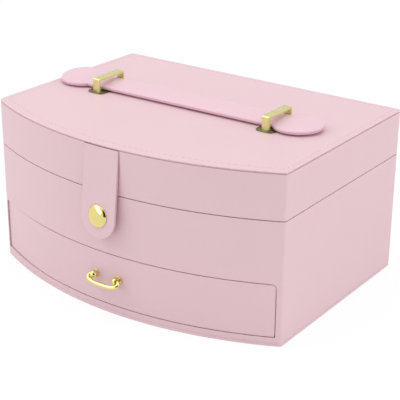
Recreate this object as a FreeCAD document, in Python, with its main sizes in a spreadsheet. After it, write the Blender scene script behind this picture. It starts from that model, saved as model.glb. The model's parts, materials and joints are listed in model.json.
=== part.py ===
"""Travel jewelry box with a bowed front: case, hinged lid with a strap handle,
closure tab with a snap, and one drawer with a bail pull.

Millimetres. X runs to the right, Y to the back, Z up.
The origin is the centre of the footprint, on the surface that the box stands on.
"""
import FreeCAD, Part
import math
import os
import Sketcher

Vector = FreeCAD.Vector
doc = FreeCAD.newDocument("jewelry_box")

# Driving dimensions, in millimetres and degrees
DIMENSIONS = {
    # case and lid
    "width": 260.0,
    "side_depth": 162.6,
    "bow": 31.6,
    "board": 4.0,
    "corner": 3.0,
    "base_height": 6.6,
    "drawer_top": 47.7,
    "shelf": 3.5,
    "case_top": 94.0,
    "lid_bottom": 94.6,
    "lid_top": 129.5,
    "top_panel": 1.6,
    "panel_rim": 0.7,
    "window_corner": 2.5,
    # upper tray
    "lining": 1.0,
    "tray_rim": 91.5,
    "divider": 3.0,
    "divider_height": 34.0,
    "tray_row_y": 22.0,
    "tray_front_cross": 48.0,
    "tray_back_cross": 26.0,
    "roll_count": 5.0,
    "roll_pitch": 12.2,
    "roll_radius": 5.85,
    "roll_end": 3.35,
    "roll_room": 0.5,
    # drawer
    "drawer_gap": 0.6,
    "drawer_front": 5.0,
    "drawer_wall": 3.5,
    "drawer_floor": 3.0,
    "drawer_side_top": 42.0,
    "drawer_back_y": 91.6,
    "drawer_lining_drop": 1.0,
    "drawer_divider_drop": 2.0,
    "drawer_row_y": 12.0,
    "drawer_cross": 42.0,
    "glide": 0.5,
    "glide_x": 100.0,
    "glide_width": 12.0,
    "glide_front": 40.0,
    "glide_back": 88.0,
    # lid inside
    "inner_card_top": 121.9,
    "inner_card": 1.5,
    "mirror_y": 2.0,
    "mirror_width": 190.0,
    "mirror_depth": 110.0,
    "mirror_thickness": 2.0,
    "mirror_lip": 1.0,
    "mirror_overlap": 3.0,
    "mirror_play": 0.2,
    "lid_lining_drop": 0.6,
    # hinges
    "hinge_x": 78.0,
    "hinge_length": 30.0,
    "hinge_height": 16.0,
    "leaf": 0.8,
    "leaf_corner": 1.2,
    "barrel_radius": 2.0,
    "barrel_standoff": 2.2,
    "knuckle_half": 7.2,
    "knuckle_gap": 0.2,
    "pin_radius": 0.8,
    "pin_play": 0.05,
    "pin_head": 1.4,
    "pin_head_height": 0.8,
    "stop_fin": 5.4,
    "screw_across": 9.0,
    "screw_along": 9.9,
    "screw_radius": 0.9,
    "screw_head": 1.6,
    "screw_length": 3.0,
    # closure tab and snap
    "tab_x": -1.1,
    "tab_width": 30.4,
    "tab_length": 66.2,
    "tab_thickness": 2.0,
    "tab_rim": 0.6,
    "tab_axis_z": 126.7,
    "tab_inset": 0.9,
    "tab_lean": 6.5,
    "tab_slack": 0.3,
    "recess_bottom": 107.0,
    "tongue": 1.0,
    "tongue_back": 82.0,
    "snap_drop": 49.6,
    "cap_radius": 8.2,
    "cap_height": 3.0,
    "cap_rim": 0.8,
    "cap_edge": 0.3,
    "rivet_radius": 1.7,
    "rivet_length": 0.8,
    "rivet_play": 0.1,
    "socket_depth": 2.4,
    "socket_radius": 6.2,
    "socket_edge": 1.0,
    "socket_lip": 4.2,
    "socket_mouth": 2.8,
    # handle
    "handle_x": -3.1,
    "handle_y": 8.1,
    "handle_skew": 1.2,
    "loop_spacing": 155.2,
    "loop_length": 31.0,
    "loop_height": 11.2,
    "loop_bar": 2.0,
    "loop_width": 6.5,
    "loop_bend": 0.9,
    "loop_play": 0.1,
    "loop_foot": 6.0,
    "plate_width": 15.5,
    "plate_length": 37.0,
    "plate_corner": 4.0,
    "plate_rim": 0.35,
    "plate": 1.0,
    "backplate": 0.6,
    "backplate_inset": 1.5,
    "strap_x": -7.0,
    "strap_lift": 4.3,
    "strap_turn": 1.0,
    "strap_thickness": 2.2,
    "strap_rim": 0.7,
    "strap_width": 25.6,
    "strap_corner": 1.0,
    "lobe_radius": 18.75,
    "lobe_x": 98.9,
    # drawer pull
    "pull_x": 1.3,
    "pull_half": 10.2,
    "pull_z": 29.0,
    "pull_standoff": 3.0,
    "pull_ball": 2.7,
    "pull_flat": 1.2,
    "pull_neck": 2.0,
    "pull_foot": 3.2,
    "pull_foot_height": 0.6,
    "pull_raise": 50.0,
    "pull_screw": 1.2,
    "pull_screw_reach": 1.8,
    "pull_screw_head": 2.6,
    "pull_screw_head_height": 1.6,
    "pull_screw_head_rim": 0.5,
    "bail_radius": 1.6,
    "bail_end": 11.6,
    "bail_elbow": 2.0,
    "bail_bend": 3.4,
    "bail_drop": 6.4,
    "bail_pin": 0.85,
    "bail_pin_in": 2.5,
    "bail_pin_out": 0.4,
    # fits
    "play": 0.05,
    "clearance": 0.1,
    "past": 1.0,
}

# Stud of the snap: radius and height of the corners of its half section
STUD_PROFILE = [
    (0, 0), (5.4, 0), (5.4, 0.4), (4.6, 0.8), (1.7, 0.9),
    (1.6, 1.3), (2.1, 1.7), (2.1, 2.1), (1.5, 2.6), (0, 2.6)]

sheet = doc.addObject("Spreadsheet::Sheet", "dims")
for row, (alias, value) in enumerate(DIMENSIONS.items(), start=1):
    sheet.set(f"A{row}", str(value))
    sheet.setAlias(f"A{row}", alias)
doc.recompute()

# Formulas that several pieces share
HALF = "(dims.width / 2)"
INNER_HALF = "(dims.width / 2 - dims.board)"
BACK = "((dims.side_depth + dims.bow) / 2)"
INNER_BACK = "((dims.side_depth + dims.bow) / 2 - dims.board)"
APEX = "(-(dims.side_depth + dims.bow) / 2)"
RADIUS = "((dims.width ^ 2 / 4 + dims.bow ^ 2) / (2 * dims.bow))"
INNER_RADIUS = f"({RADIUS} - dims.board)"
BOW_CENTRE = f"({APEX} + {RADIUS})"
SHELF_TOP = "(dims.drawer_top + dims.shelf)"
PANEL_BOTTOM = "(dims.lid_top - dims.top_panel)"
BOARD_BOTTOM = "(dims.lid_top - dims.top_panel - dims.board)"
SEAM = "((dims.case_top + dims.lid_bottom) / 2)"
HINGE_Y = f"({BACK} + dims.barrel_standoff)"
TAB_Y = f"({APEX} + dims.tab_inset)"
TAB_TURN = "(90 - dims.tab_lean)"


def value(formula):
    """The present value of a formula on the sheet."""
    return float(sheet.evalExpression(str(formula)))


# Sketches

def new_body(label):
    body = doc.addObject("PartDesign::Body", label)
    body.Label = label
    return body


def sketch_on(body, name, plane="XY_Plane"):
    sketch = body.newObject("Sketcher::SketchObject", name)
    origin_plane = next(part for part in body.Origin.OriginFeatures if part.Role == plane)
    sketch.AttachmentSupport = [(origin_plane, "")]
    sketch.MapMode = "FlatFace"
    return sketch


def offset_sketch(sketch, distance):
    """Move a sketch along its plane's normal by a formula."""
    sketch.AttachmentOffset = FreeCAD.Placement(Vector(0, 0, value(distance)), FreeCAD.Rotation())
    sketch.setExpression("AttachmentOffset.Base.z", str(distance))


def bind(sketch, kind, *args):
    """Add a dimension whose last argument is a formula."""
    *where, formula = args
    index = sketch.addConstraint(Sketcher.Constraint(kind, *where, value(formula)))
    sketch.setExpression(f"Constraints[{index}]", str(formula))


def place_vertex(sketch, geometry, end, x, y):
    bind(sketch, "DistanceX", -1, 1, geometry, end, x)
    bind(sketch, "DistanceY", -1, 1, geometry, end, y)


def sketch_line(sketch, x1, y1, x2, y2):
    return sketch.addGeometry(Part.LineSegment(Vector(x1, y1, 0), Vector(x2, y2, 0)), False)


def sketch_arc(sketch, x, y, radius, start, end):
    ring = Part.Circle(Vector(x, y, 0), Vector(0, 0, 1), radius)
    return sketch.addGeometry(Part.ArcOfCircle(ring, start, end), False)


def polygon(sketch, corners):
    """A closed outline of straight lines through corners given as formulas."""
    points = [Vector(value(x), value(y), 0) for x, y in corners]
    lines = []
    for index, point in enumerate(points):
        following = points[(index + 1) % len(points)]
        lines.append(sketch.addGeometry(Part.LineSegment(point, following), False))
    for index, line in enumerate(lines):
        following = lines[(index + 1) % len(lines)]
        sketch.addConstraint(Sketcher.Constraint("Coincident", line, 2, following, 1))
    for line, (x, y) in zip(lines, corners):
        place_vertex(sketch, line, 1, x, y)


def rectangle(sketch, left, right, bottom, top):
    polygon(sketch, [(left, bottom), (right, bottom), (right, top), (left, top)])


def circle(sketch, x, y, radius):
    centre = Vector(value(x), value(y), 0)
    ring = sketch.addGeometry(Part.Circle(centre, Vector(0, 0, 1), value(radius)), False)
    place_vertex(sketch, ring, 3, x, y)
    bind(sketch, "Radius", ring, radius)


def front_arc(sketch, left, right, radius):
    """An arc of the bowed front, from left to right, about the bow's centre."""
    centre = Vector(0, value(BOW_CENTRE), 0)
    reach = value(radius)
    start = 1.5 * math.pi + math.asin(value(left) / reach)
    end = 1.5 * math.pi + math.asin(value(right) / reach)
    round_line = Part.ArcOfCircle(Part.Circle(centre, Vector(0, 0, 1), reach), start, end)
    arc = sketch.addGeometry(round_line, False)
    place_vertex(sketch, arc, 3, "0", BOW_CENTRE)
    bind(sketch, "Radius", arc, radius)
    return arc


def arc_end(left_or_right, radius):
    x = value(left_or_right)
    return Vector(x, value(BOW_CENTRE) - math.sqrt(value(radius) ** 2 - x * x), 0)


def bow_outline(sketch, left, right, back, radius):
    """A board in plan: straight sides and back, and a front that follows the bow."""
    front_right = arc_end(right, radius)
    front_left = arc_end(left, radius)
    back_right = Vector(value(right), value(back), 0)
    back_left = Vector(value(left), value(back), 0)
    side_r = sketch.addGeometry(Part.LineSegment(front_right, back_right), False)
    rear = sketch.addGeometry(Part.LineSegment(back_right, back_left), False)
    side_l = sketch.addGeometry(Part.LineSegment(back_left, front_left), False)
    arc = front_arc(sketch, left, right, radius)
    sketch.addConstraint([
        Sketcher.Constraint("Coincident", side_r, 2, rear, 1),
        Sketcher.Constraint("Coincident", rear, 2, side_l, 1),
        Sketcher.Constraint("Coincident", side_l, 2, arc, 1),
        Sketcher.Constraint("Coincident", arc, 2, side_r, 1),
        Sketcher.Constraint("Horizontal", rear),
        Sketcher.Constraint("Vertical", side_r),
        Sketcher.Constraint("Vertical", side_l),
    ])
    bind(sketch, "DistanceX", -1, 1, side_r, 1, right)
    bind(sketch, "DistanceX", -1, 1, side_l, 1, left)
    bind(sketch, "DistanceY", -1, 1, rear, 1, back)


def bow_strip(sketch, left, right, radius, thickness):
    """A bent board in plan, between two arcs about the bow's centre."""
    inner = f"({radius} - {thickness})"
    outer_arc = front_arc(sketch, left, right, radius)
    inner_arc = front_arc(sketch, left, right, inner)
    end_r = sketch.addGeometry(Part.LineSegment(arc_end(right, radius), arc_end(right, inner)), False)
    end_l = sketch.addGeometry(Part.LineSegment(arc_end(left, inner), arc_end(left, radius)), False)
    sketch.addConstraint([
        Sketcher.Constraint("Coincident", outer_arc, 2, end_r, 1),
        Sketcher.Constraint("Coincident", end_r, 2, inner_arc, 2),
        Sketcher.Constraint("Coincident", inner_arc, 1, end_l, 1),
        Sketcher.Constraint("Coincident", end_l, 2, outer_arc, 1),
        Sketcher.Constraint("Vertical", end_r),
        Sketcher.Constraint("Vertical", end_l),
    ])
    bind(sketch, "DistanceX", -1, 1, end_r, 1, right)
    bind(sketch, "DistanceX", -1, 1, end_l, 1, left)


# Features

def pad(body, sketch, length, symmetric=False, reversed_=False):
    feature = body.newObject("PartDesign::Pad", sketch.Name + "_pad")
    feature.Profile = sketch
    feature.Length = value(length)
    feature.setExpression("Length", str(length))
    if symmetric:
        feature.SideType = "Symmetric"
    feature.Reversed = reversed_
    doc.recompute()
    return feature


def pocket(body, sketch, length=None, symmetric=False, reversed_=False):
    """Cut a sketch out of the body, through all of it where no length is given."""
    before = body.Shape.Volume
    feature = body.newObject("PartDesign::Pocket", sketch.Name + "_cut")
    feature.Profile = sketch
    if length is None:
        feature.Type = "ThroughAll"
    else:
        feature.Length = value(length)
        feature.setExpression("Length", str(length))
    if symmetric:
        feature.SideType = "Symmetric"
    feature.Reversed = reversed_
    doc.recompute()
    if not body.Shape.Volume < before - 1e-6:
        raise RuntimeError(f"{feature.Name} cuts nothing")
    return feature


def revolve(body, sketch, axis):
    feature = body.newObject("PartDesign::Revolution", sketch.Name + "_turned")
    feature.Profile = sketch
    feature.ReferenceAxis = (sketch, [axis])
    feature.Angle = 360.0
    doc.recompute()
    return feature


def round_edges(body, radius, chosen):
    """Round the edges of the body's last feature that the test chooses."""
    dress(body, "PartDesign::Fillet", "Radius", radius, chosen)


def bevel_edges(body, size, chosen):
    dress(body, "PartDesign::Chamfer", "Size", size, chosen)


def dress(body, kind, property_name, size, chosen):
    last = body.Tip
    names = [f"Edge{i}" for i, edge in enumerate(last.Shape.Edges, start=1) if chosen(edge)]
    if not names:
        raise RuntimeError(f"no edge chosen on {body.Label}")
    feature = body.newObject(kind, f"{body.Label}_{kind[12:].lower()}_{len(body.Group)}")
    feature.Base = (last, names)
    setattr(feature, property_name, value(size))
    feature.setExpression(property_name, str(size))
    doc.recompute()


def is_straight(edge):
    return not edge.Degenerated and edge.Curve.TypeId == "Part::GeomLine"


def is_round(edge):
    return not edge.Degenerated and edge.Curve.TypeId == "Part::GeomCircle"


def upright(edge):
    """True for a straight edge along the body's own Z."""
    return is_straight(edge) and abs(edge.tangentAt(edge.FirstParameter).z) > 0.999


def corner_edge(x, y=None):
    """A test for upright edges at plus or minus x and, where given, at y."""
    def chosen(edge):
        spot = edge.CenterOfMass
        near_x = abs(abs(spot.x) - value(x)) < 0.05
        near_y = y is None or abs(spot.y - value(y)) < 0.05
        return upright(edge) and near_x and near_y
    return chosen


def front_corner(edge):
    """True for the upright edges where a bent front meets the sides."""
    spot = edge.CenterOfMass
    front = value(f"{BOW_CENTRE} - sqrt({RADIUS}^2 - {HALF}^2)") + 0.5
    return upright(edge) and abs(abs(spot.x) - value(HALF)) < 0.05 and spot.y < front


def place(body, x=None, y=None, z=None):
    """Bind the placement of a body to formulas."""
    for axis, formula in (("x", x), ("y", y), ("z", z)):
        if formula is not None:
            body.setExpression(f"Placement.Base.{axis}", str(formula))


def lean(body, angle):
    """Turn a body about X, so that its own Z points out of the front."""
    body.Placement = FreeCAD.Placement(Vector(), FreeCAD.Rotation(Vector(1, 0, 0), value(angle)))
    body.setExpression("Placement.Rotation.Angle", f"({angle}) * 1 deg")


def flat_board(label, outline, bottom, thickness):
    """A board with an outline in plan, standing at a level."""
    body = new_body(label)
    sketch = sketch_on(body, label + "_plan")
    outline(sketch)
    pad(body, sketch, thickness)
    place(body, z=bottom)
    return body


# Case boards

BODY_PARTS = []


def part(shape_object):
    """Keep a finished sub-part for export."""
    BODY_PARTS.append(shape_object)
    return shape_object


def make_front_frame():
    """The bent front of the case, with a window for the drawer."""
    body = flat_board(
        "front_frame", lambda s: bow_strip(s, f"-{HALF}", HALF, RADIUS, "dims.board"), "0", "dims.case_top")
    window = sketch_on(body, "front_frame_window", "XZ_Plane")
    rectangle(window, f"-{INNER_HALF}", INNER_HALF, "dims.base_height", "dims.drawer_top")
    pocket(body, window, symmetric=True)

    def window_top(edge):
        spot = edge.CenterOfMass
        crosswise = abs(edge.BoundBox.ZLength) < 0.01 and edge.Length < 2 * value("dims.board")
        high = abs(spot.z - value("dims.drawer_top")) < 0.01
        return crosswise and high and abs(abs(spot.x) - value(INNER_HALF)) < 1.0
    round_edges(body, "dims.window_corner", window_top)
    round_edges(body, "dims.corner", front_corner)
    return part(body)


def make_side_wall(name, side, bottom, height):
    """A straight side board that ends behind the bent front."""
    low, high = (INNER_HALF, HALF) if side > 0 else (f"-{HALF}", f"-{INNER_HALF}")
    body = flat_board(name, lambda s: bow_outline(s, low, high, BACK, INNER_RADIUS), bottom, height)
    round_edges(body, "dims.corner", corner_edge(HALF, BACK))
    return part(body)


def make_case():
    make_front_frame()
    for name, side in (("side_wall_left", -1), ("side_wall_right", 1)):
        make_side_wall(name, side, "0", "dims.case_top")
    part(flat_board(
        "back_wall", lambda s: rectangle(s, f"-{INNER_HALF}", INNER_HALF, INNER_BACK, BACK),
        "0", "dims.case_top"))

    def inside(sketch):
        bow_outline(sketch, f"-{INNER_HALF}", INNER_HALF, INNER_BACK, INNER_RADIUS)
    part(flat_board("base_board", inside, "0", "dims.base_height"))
    part(flat_board("shelf_board", inside, "dims.drawer_top", "dims.shelf"))

    def glides(sketch):
        half = "dims.glide_width / 2"
        for x in ("-dims.glide_x", "dims.glide_x"):
            rectangle(sketch, f"{x} - {half}", f"{x} + {half}", "-dims.glide_front", "dims.glide_back")
    part(flat_board("drawer_glides", glides, "dims.base_height", "dims.glide"))


# Upper tray

def make_tray():
    """The velvet tray over the shelf, its dividers and its ring rolls."""
    half = INNER_HALF
    body = flat_board(
        "tray_lining", lambda s: bow_outline(s, f"-{half}", half, INNER_BACK, INNER_RADIUS),
        SHELF_TOP, f"dims.tray_rim - {SHELF_TOP}")
    hollow = sketch_on(body, "tray_lining_hollow")
    bow_outline(hollow, f"-({half} - dims.lining)", f"({half} - dims.lining)",
                f"({INNER_BACK} - dims.lining)", f"({INNER_RADIUS} - dims.lining)")
    offset_sketch(hollow, "dims.lining")
    pocket(body, hollow, f"dims.tray_rim - {SHELF_TOP}", reversed_=True)
    part(body)

    inner = f"({half} - dims.lining)"
    floor = f"({SHELF_TOP} + dims.lining)"
    row_back = "(dims.tray_row_y + dims.divider)"
    part(flat_board(
        "tray_long_divider", lambda s: rectangle(s, f"-{inner}", inner, "dims.tray_row_y", row_back),
        floor, "dims.divider_height"))

    def cross(sketch):
        back_wall = f"({INNER_BACK} - dims.lining)"
        x = "dims.tray_back_cross"
        rectangle(sketch, x, f"{x} + dims.divider", row_back, back_wall)
        for low in ("dims.tray_front_cross", "-dims.tray_front_cross - dims.divider"):
            bow_outline(sketch, low, f"{low} + dims.divider", "dims.tray_row_y",
                        f"({INNER_RADIUS} - dims.lining)")
    part(flat_board("tray_cross_dividers", cross, floor, "dims.divider_height"))
    make_ring_rolls(inner, floor, row_back)


def make_ring_rolls(inner, floor, row_back):
    """Padded rolls with domed ends, side by side in the back left bay of the tray."""
    rolls = []
    left = f"(dims.roll_room - {inner})"
    right = "(dims.tray_back_cross - dims.roll_room)"
    for index in range(int(value("dims.roll_count"))):
        body = new_body(f"ring_roll_{index + 1}")
        sketch = sketch_on(body, f"ring_roll_{index + 1}_half")
        rectangle(sketch, left, right, "0", "dims.roll_radius")
        revolve(body, sketch, "H_Axis")
        round_edges(body, "dims.roll_end", is_round)
        place(body, y=f"{row_back} + ({index} + 0.5) * dims.roll_pitch", z=f"{floor} + dims.roll_radius")
        rolls.append(body)
    group = doc.addObject("Part::Compound", "ring_rolls")
    group.Links = rolls
    group.Label = "ring_rolls"
    part(group)


# Lid

def make_lid():
    body = flat_board(
        "lid_front_band", lambda s: bow_strip(s, f"-{HALF}", HALF, RADIUS, "dims.board"),
        "dims.lid_bottom", f"{PANEL_BOTTOM} - dims.lid_bottom")
    tab_recess(body, "dims.lid_bottom")
    round_edges(body, "dims.corner", front_corner)
    part(body)
    height = f"{PANEL_BOTTOM} - dims.lid_bottom"
    for name, side in (("lid_side_left", -1), ("lid_side_right", 1)):
        make_side_wall(name, side, "dims.lid_bottom", height)
    part(flat_board(
        "lid_back_band", lambda s: rectangle(s, f"-{INNER_HALF}", INNER_HALF, INNER_BACK, BACK),
        "dims.lid_bottom", height))
    top = flat_board(
        "lid_top_board",
        lambda s: bow_outline(s, f"-{INNER_HALF}", INNER_HALF, INNER_BACK, INNER_RADIUS),
        BOARD_BOTTOM, "dims.board")
    tab_recess(top, BOARD_BOTTOM)
    leg_slots(top)
    part(top)

    panel = flat_board(
        "lid_top_panel", lambda s: bow_outline(s, f"-{HALF}", HALF, BACK, RADIUS),
        PANEL_BOTTOM, "dims.top_panel")
    leg_slots(panel)
    round_edges(panel, "dims.corner", corner_edge(HALF))

    def rim(edge):
        spot = edge.CenterOfMass
        level = abs(edge.BoundBox.ZMin - value("dims.top_panel")) < 0.01
        outside = edge.Length > 30 or abs(spot.x) > value(HALF) - 3
        return level and abs(edge.BoundBox.ZLength) < 0.01 and outside
    round_edges(panel, "dims.panel_rim", rim)
    part(panel)


def tab_recess(body, bottom):
    """Room for the root of the closure tab and its glued tongue, in a board that stands at a level."""
    top = f"({PANEL_BOTTOM} - {bottom})"
    half = "(dims.tab_width / 2 + dims.tab_slack)"
    back = f"({TAB_Y} + dims.tab_thickness / 2 + dims.tab_slack)"
    slot = sketch_on(body, body.Label + "_slot", "XZ_Plane")
    rectangle(slot, f"dims.tab_x - {half}", f"dims.tab_x + {half}",
              f"{top} - dims.tongue - dims.clearance", top)
    offset_sketch(slot, "dims.tongue_back")
    pocket(body, slot, reversed_=True)
    if value(bottom) < value("dims.recess_bottom"):
        wedge = sketch_on(body, body.Label + "_wedge", "YZ_Plane")
        low = f"(dims.recess_bottom - {bottom})"
        front = f"({APEX} - dims.past)"
        shallow = f"({APEX} + 2 * dims.clearance)"
        deepest = f"({top} - dims.tongue - dims.tab_thickness)"
        polygon(wedge, [(front, low), (shallow, low), (back, deepest), (back, top), (front, top)])
        offset_sketch(wedge, "dims.tab_x")
        pocket(body, wedge, f"2 * {half}", symmetric=True)


def loop_y(side):
    return f"(dims.handle_y + {side} * dims.handle_skew)"


def leg_slots(body):
    """Four slots for the legs of the handle loops."""
    slots = sketch_on(body, body.Label + "_slots")
    for side in (-1, 1):
        x = f"(dims.handle_x + {side} * dims.loop_spacing / 2)"
        for end in (-1, 1):
            y = f"({loop_y(side)} + {end} * (dims.loop_length - dims.loop_bar) / 2)"
            leg_slot(slots, x, y)
    pocket(body, slots, symmetric=True)


def leg_slot(sketch, x, y):
    wide = "(dims.loop_width / 2 + dims.loop_play)"
    deep = "(dims.loop_bar / 2 + dims.loop_play)"
    rectangle(sketch, f"{x} - {wide}", f"{x} + {wide}", f"{y} - {deep}", f"{y} + {deep}")


def make_lid_inside():
    """Card, mirror, mirror frame and velvet band under the lid's top board."""
    half = INNER_HALF
    card_bottom = "(dims.inner_card_top - dims.inner_card)"
    part(flat_board(
        "lid_inner_card", lambda s: bow_outline(s, f"-{half}", half, INNER_BACK, INNER_RADIUS),
        card_bottom, "dims.inner_card"))
    wide = "(dims.mirror_width / 2)"
    deep = "(dims.mirror_depth / 2)"

    def mirror_outline(sketch, extra):
        rectangle(sketch, f"-{wide} - {extra}", f"{wide} + {extra}",
                  f"dims.mirror_y - {deep} - {extra}", f"dims.mirror_y + {deep} + {extra}")
    part(flat_board(
        "mirror", lambda s: mirror_outline(s, "0"),
        f"{card_bottom} - dims.mirror_thickness", "dims.mirror_thickness"))
    frame_thickness = "(dims.mirror_thickness + dims.mirror_lip)"
    inner = f"({half} - dims.lining)"
    frame = flat_board(
        "mirror_frame",
        lambda s: bow_outline(s, f"-{inner}", inner, f"({INNER_BACK} - dims.lining)",
                              f"({INNER_RADIUS} - dims.lining)"),
        f"{card_bottom} - {frame_thickness}", frame_thickness)
    window = sketch_on(frame, "mirror_frame_window")
    mirror_outline(window, "(0 - dims.mirror_overlap)")
    pocket(frame, window, symmetric=True)
    rebate = sketch_on(frame, "mirror_frame_rebate")
    mirror_outline(rebate, "dims.mirror_play")
    offset_sketch(rebate, "dims.mirror_lip")
    pocket(frame, rebate, "dims.mirror_thickness + dims.past", reversed_=True)
    part(frame)

    band_bottom = "(dims.lid_bottom + dims.lid_lining_drop)"
    band_height = f"{card_bottom} - {band_bottom}"
    band = flat_board(
        "lid_lining", lambda s: bow_outline(s, f"-{half}", half, INNER_BACK, INNER_RADIUS),
        band_bottom, band_height)
    hollow = sketch_on(band, "lid_lining_hollow")
    bow_outline(hollow, f"-{inner}", inner, f"({INNER_BACK} - dims.lining)",
                f"({INNER_RADIUS} - dims.lining)")
    pocket(band, hollow, symmetric=True)
    part(band)


# Hinges

def make_hinge_leaf(name, x, side):
    """One leaf of a back hinge. The upper leaf, side 1, has the middle knuckle and the stop fin."""
    body = new_body(name)
    length = "dims.hinge_length"
    plate_back = "(dims.leaf - dims.barrel_standoff)"
    plate = sketch_on(body, name + "_plate", "YZ_Plane")
    low, high = ("0", "dims.hinge_height") if side > 0 else ("-dims.hinge_height", "0")
    rectangle(plate, "-dims.barrel_standoff", plate_back, low, high)
    pad(body, plate, length, symmetric=True)
    barrel = sketch_on(body, name + "_barrel", "YZ_Plane")
    circle(barrel, "0", "0", "dims.barrel_radius")
    pad(body, barrel, length, symmetric=True)
    notch = sketch_on(body, name + "_notch", "XZ_Plane")
    reach = "(dims.barrel_radius + dims.knuckle_gap)"
    middle = "dims.knuckle_half"
    if side > 0:
        end = "(dims.hinge_length / 2 + dims.past)"
        rectangle(notch, f"-{end}", f"-{middle}", f"-{reach}", reach)
        rectangle(notch, middle, end, f"-{reach}", reach)
    else:
        room = f"({middle} + dims.knuckle_gap)"
        rectangle(notch, f"-{room}", room, f"-{reach}", reach)
    pocket(body, notch, symmetric=True)
    if side > 0:
        fin = sketch_on(body, name + "_fin", "YZ_Plane")
        rectangle(fin, "dims.barrel_radius - dims.leaf", "dims.stop_fin", "-dims.leaf / 2", "dims.leaf / 2")
        pad(body, fin, f"2 * {middle}", symmetric=True)
    bore = sketch_on(body, name + "_bore", "YZ_Plane")
    circle(bore, "0", "0", "dims.pin_radius + dims.pin_play")
    pocket(body, bore, symmetric=True)
    holes = sketch_on(body, name + "_holes", "XZ_Plane")
    for screw in (-1, 1):
        circle(holes, f"{screw} * dims.screw_across", f"{side} * dims.screw_along",
               "dims.screw_radius + dims.play")
    pocket(body, holes, symmetric=True)

    def sink(edge):
        small = is_round(edge) and edge.Curve.Radius < value("dims.screw_head")
        return small and abs(edge.CenterOfMass.y - value(plate_back)) < 0.01
    bevel_edges(body, "dims.screw_head - dims.screw_radius", sink)

    def plate_corner(edge):
        far = abs(abs(edge.CenterOfMass.z) - value("dims.hinge_height")) < 0.01
        return is_straight(edge) and far and abs(edge.tangentAt(edge.FirstParameter).y) > 0.999
    round_edges(body, "dims.leaf_corner", plate_corner)
    place(body, x=x, y=HINGE_Y, z=SEAM)
    part(body)


def make_hinge_pin(name, x):
    """A hinge pin with a low head at each end."""
    body = new_body(name)
    half = "(dims.hinge_length / 2)"
    end = f"({half} + dims.pin_head_height)"
    profile = sketch_on(body, name + "_half")
    head = "dims.pin_head"
    polygon(profile, [
        (f"-{end}", "0"), (end, "0"), (end, head), (half, head), (half, "dims.pin_radius"),
        (f"-{half}", "dims.pin_radius"), (f"-{half}", head), (f"-{end}", head)])
    revolve(body, profile, "H_Axis")
    place(body, x=x, y=HINGE_Y, z=SEAM)
    part(body)


def make_screws(name, spots, head, shank, length):
    """Countersunk screws that point to minus Z before they are turned, as one group."""
    screws = []
    for index, (x, y, z) in enumerate(spots, start=1):
        cone = doc.addObject("Part::Cone", f"{name}_{index}_head")
        cone.setExpression("Radius1", shank)
        cone.setExpression("Radius2", head)
        cone.setExpression("Height", f"{head} - {shank}")
        stem = doc.addObject("Part::Cylinder", f"{name}_{index}_stem")
        stem.setExpression("Radius", shank)
        stem.setExpression("Height", length)
        stem.setExpression("Placement.Base.z", f"-{length}")
        screw = doc.addObject("Part::Fuse", f"{name}_{index}")
        screw.Base = cone
        screw.Tool = stem
        screw.Placement = FreeCAD.Placement(Vector(), FreeCAD.Rotation(Vector(1, 0, 0), -90))
        place(screw, x, y, z)
        screws.append(screw)
    group = doc.addObject("Part::Compound", name)
    group.Links = screws
    group.Label = name
    part(group)


def screw_holes(body, level):
    """Holes in a back board for the hinge screws, at a level of the body."""
    holes = sketch_on(body, body.Label + "_holes", "XZ_Plane")
    for hinge in (-1, 1):
        for screw in (-1, 1):
            circle(holes, f"{hinge} * dims.hinge_x + {screw} * dims.screw_across", level,
                   "dims.screw_radius + dims.clearance")
    pocket(body, holes, symmetric=True)


def make_hinges():
    for name, side in (("left", -1), ("right", 1)):
        x = f"{side} * dims.hinge_x"
        make_hinge_leaf(f"hinge_leaf_lower_{name}", x, -1)
        make_hinge_leaf(f"hinge_leaf_upper_{name}", x, 1)
        make_hinge_pin(f"hinge_pin_{name}", x)
    drop = "dims.screw_along"
    head_y = f"{BACK} + dims.leaf - (dims.screw_head - dims.screw_radius)"
    for name, sign in (("hinge_screws_lower", "-"), ("hinge_screws_upper", "+")):
        spots = [(f"{hinge} * dims.hinge_x + {screw} * dims.screw_across", head_y,
                  f"{SEAM} {sign} {drop}") for hinge in (-1, 1) for screw in (-1, 1)]
        make_screws(name, spots, "dims.screw_head", "dims.screw_radius", "dims.screw_length")
    screw_holes(doc.getObject("back_wall"), f"{SEAM} - {drop}")
    screw_holes(doc.getObject("lid_back_band"), f"{SEAM} + {drop} - dims.lid_bottom")


# Handle

def make_loop(name, side):
    """A flat bar bent into a staple: feet, legs and top bar, in one piece."""
    x = f"dims.handle_x + {side} * dims.loop_spacing / 2"
    body = new_body(name)
    profile = sketch_on(body, name + "_profile", "YZ_Plane")
    outer = "(dims.loop_length / 2)"
    inner = "(dims.loop_length / 2 - dims.loop_bar)"
    top = "dims.loop_height"
    foot_top = "(-dims.top_panel - dims.board - dims.backplate)"
    foot = "(dims.loop_bar / 2)"
    toe = f"({inner} - dims.loop_foot)"
    polygon(profile, [
        (f"-{outer}", f"{foot_top} - {foot}"), (f"-{toe}", f"{foot_top} - {foot}"), (f"-{toe}", foot_top),
        (f"-{inner}", foot_top), (f"-{inner}", f"{top} - dims.loop_bar"),
        (inner, f"{top} - dims.loop_bar"), (inner, foot_top), (toe, foot_top),
        (toe, f"{foot_top} - {foot}"), (outer, f"{foot_top} - {foot}"), (outer, top), (f"-{outer}", top)])
    pad(body, profile, "dims.loop_width", symmetric=True)

    def top_bend(edge):
        spot = edge.CenterOfMass
        return abs(spot.z - value(top)) < 0.01 and abs(abs(spot.y) - value(outer)) < 0.01
    round_edges(body, "dims.loop_bend", top_bend)
    place(body, x=x, y=loop_y(side), z="dims.lid_top")
    part(body)


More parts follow.
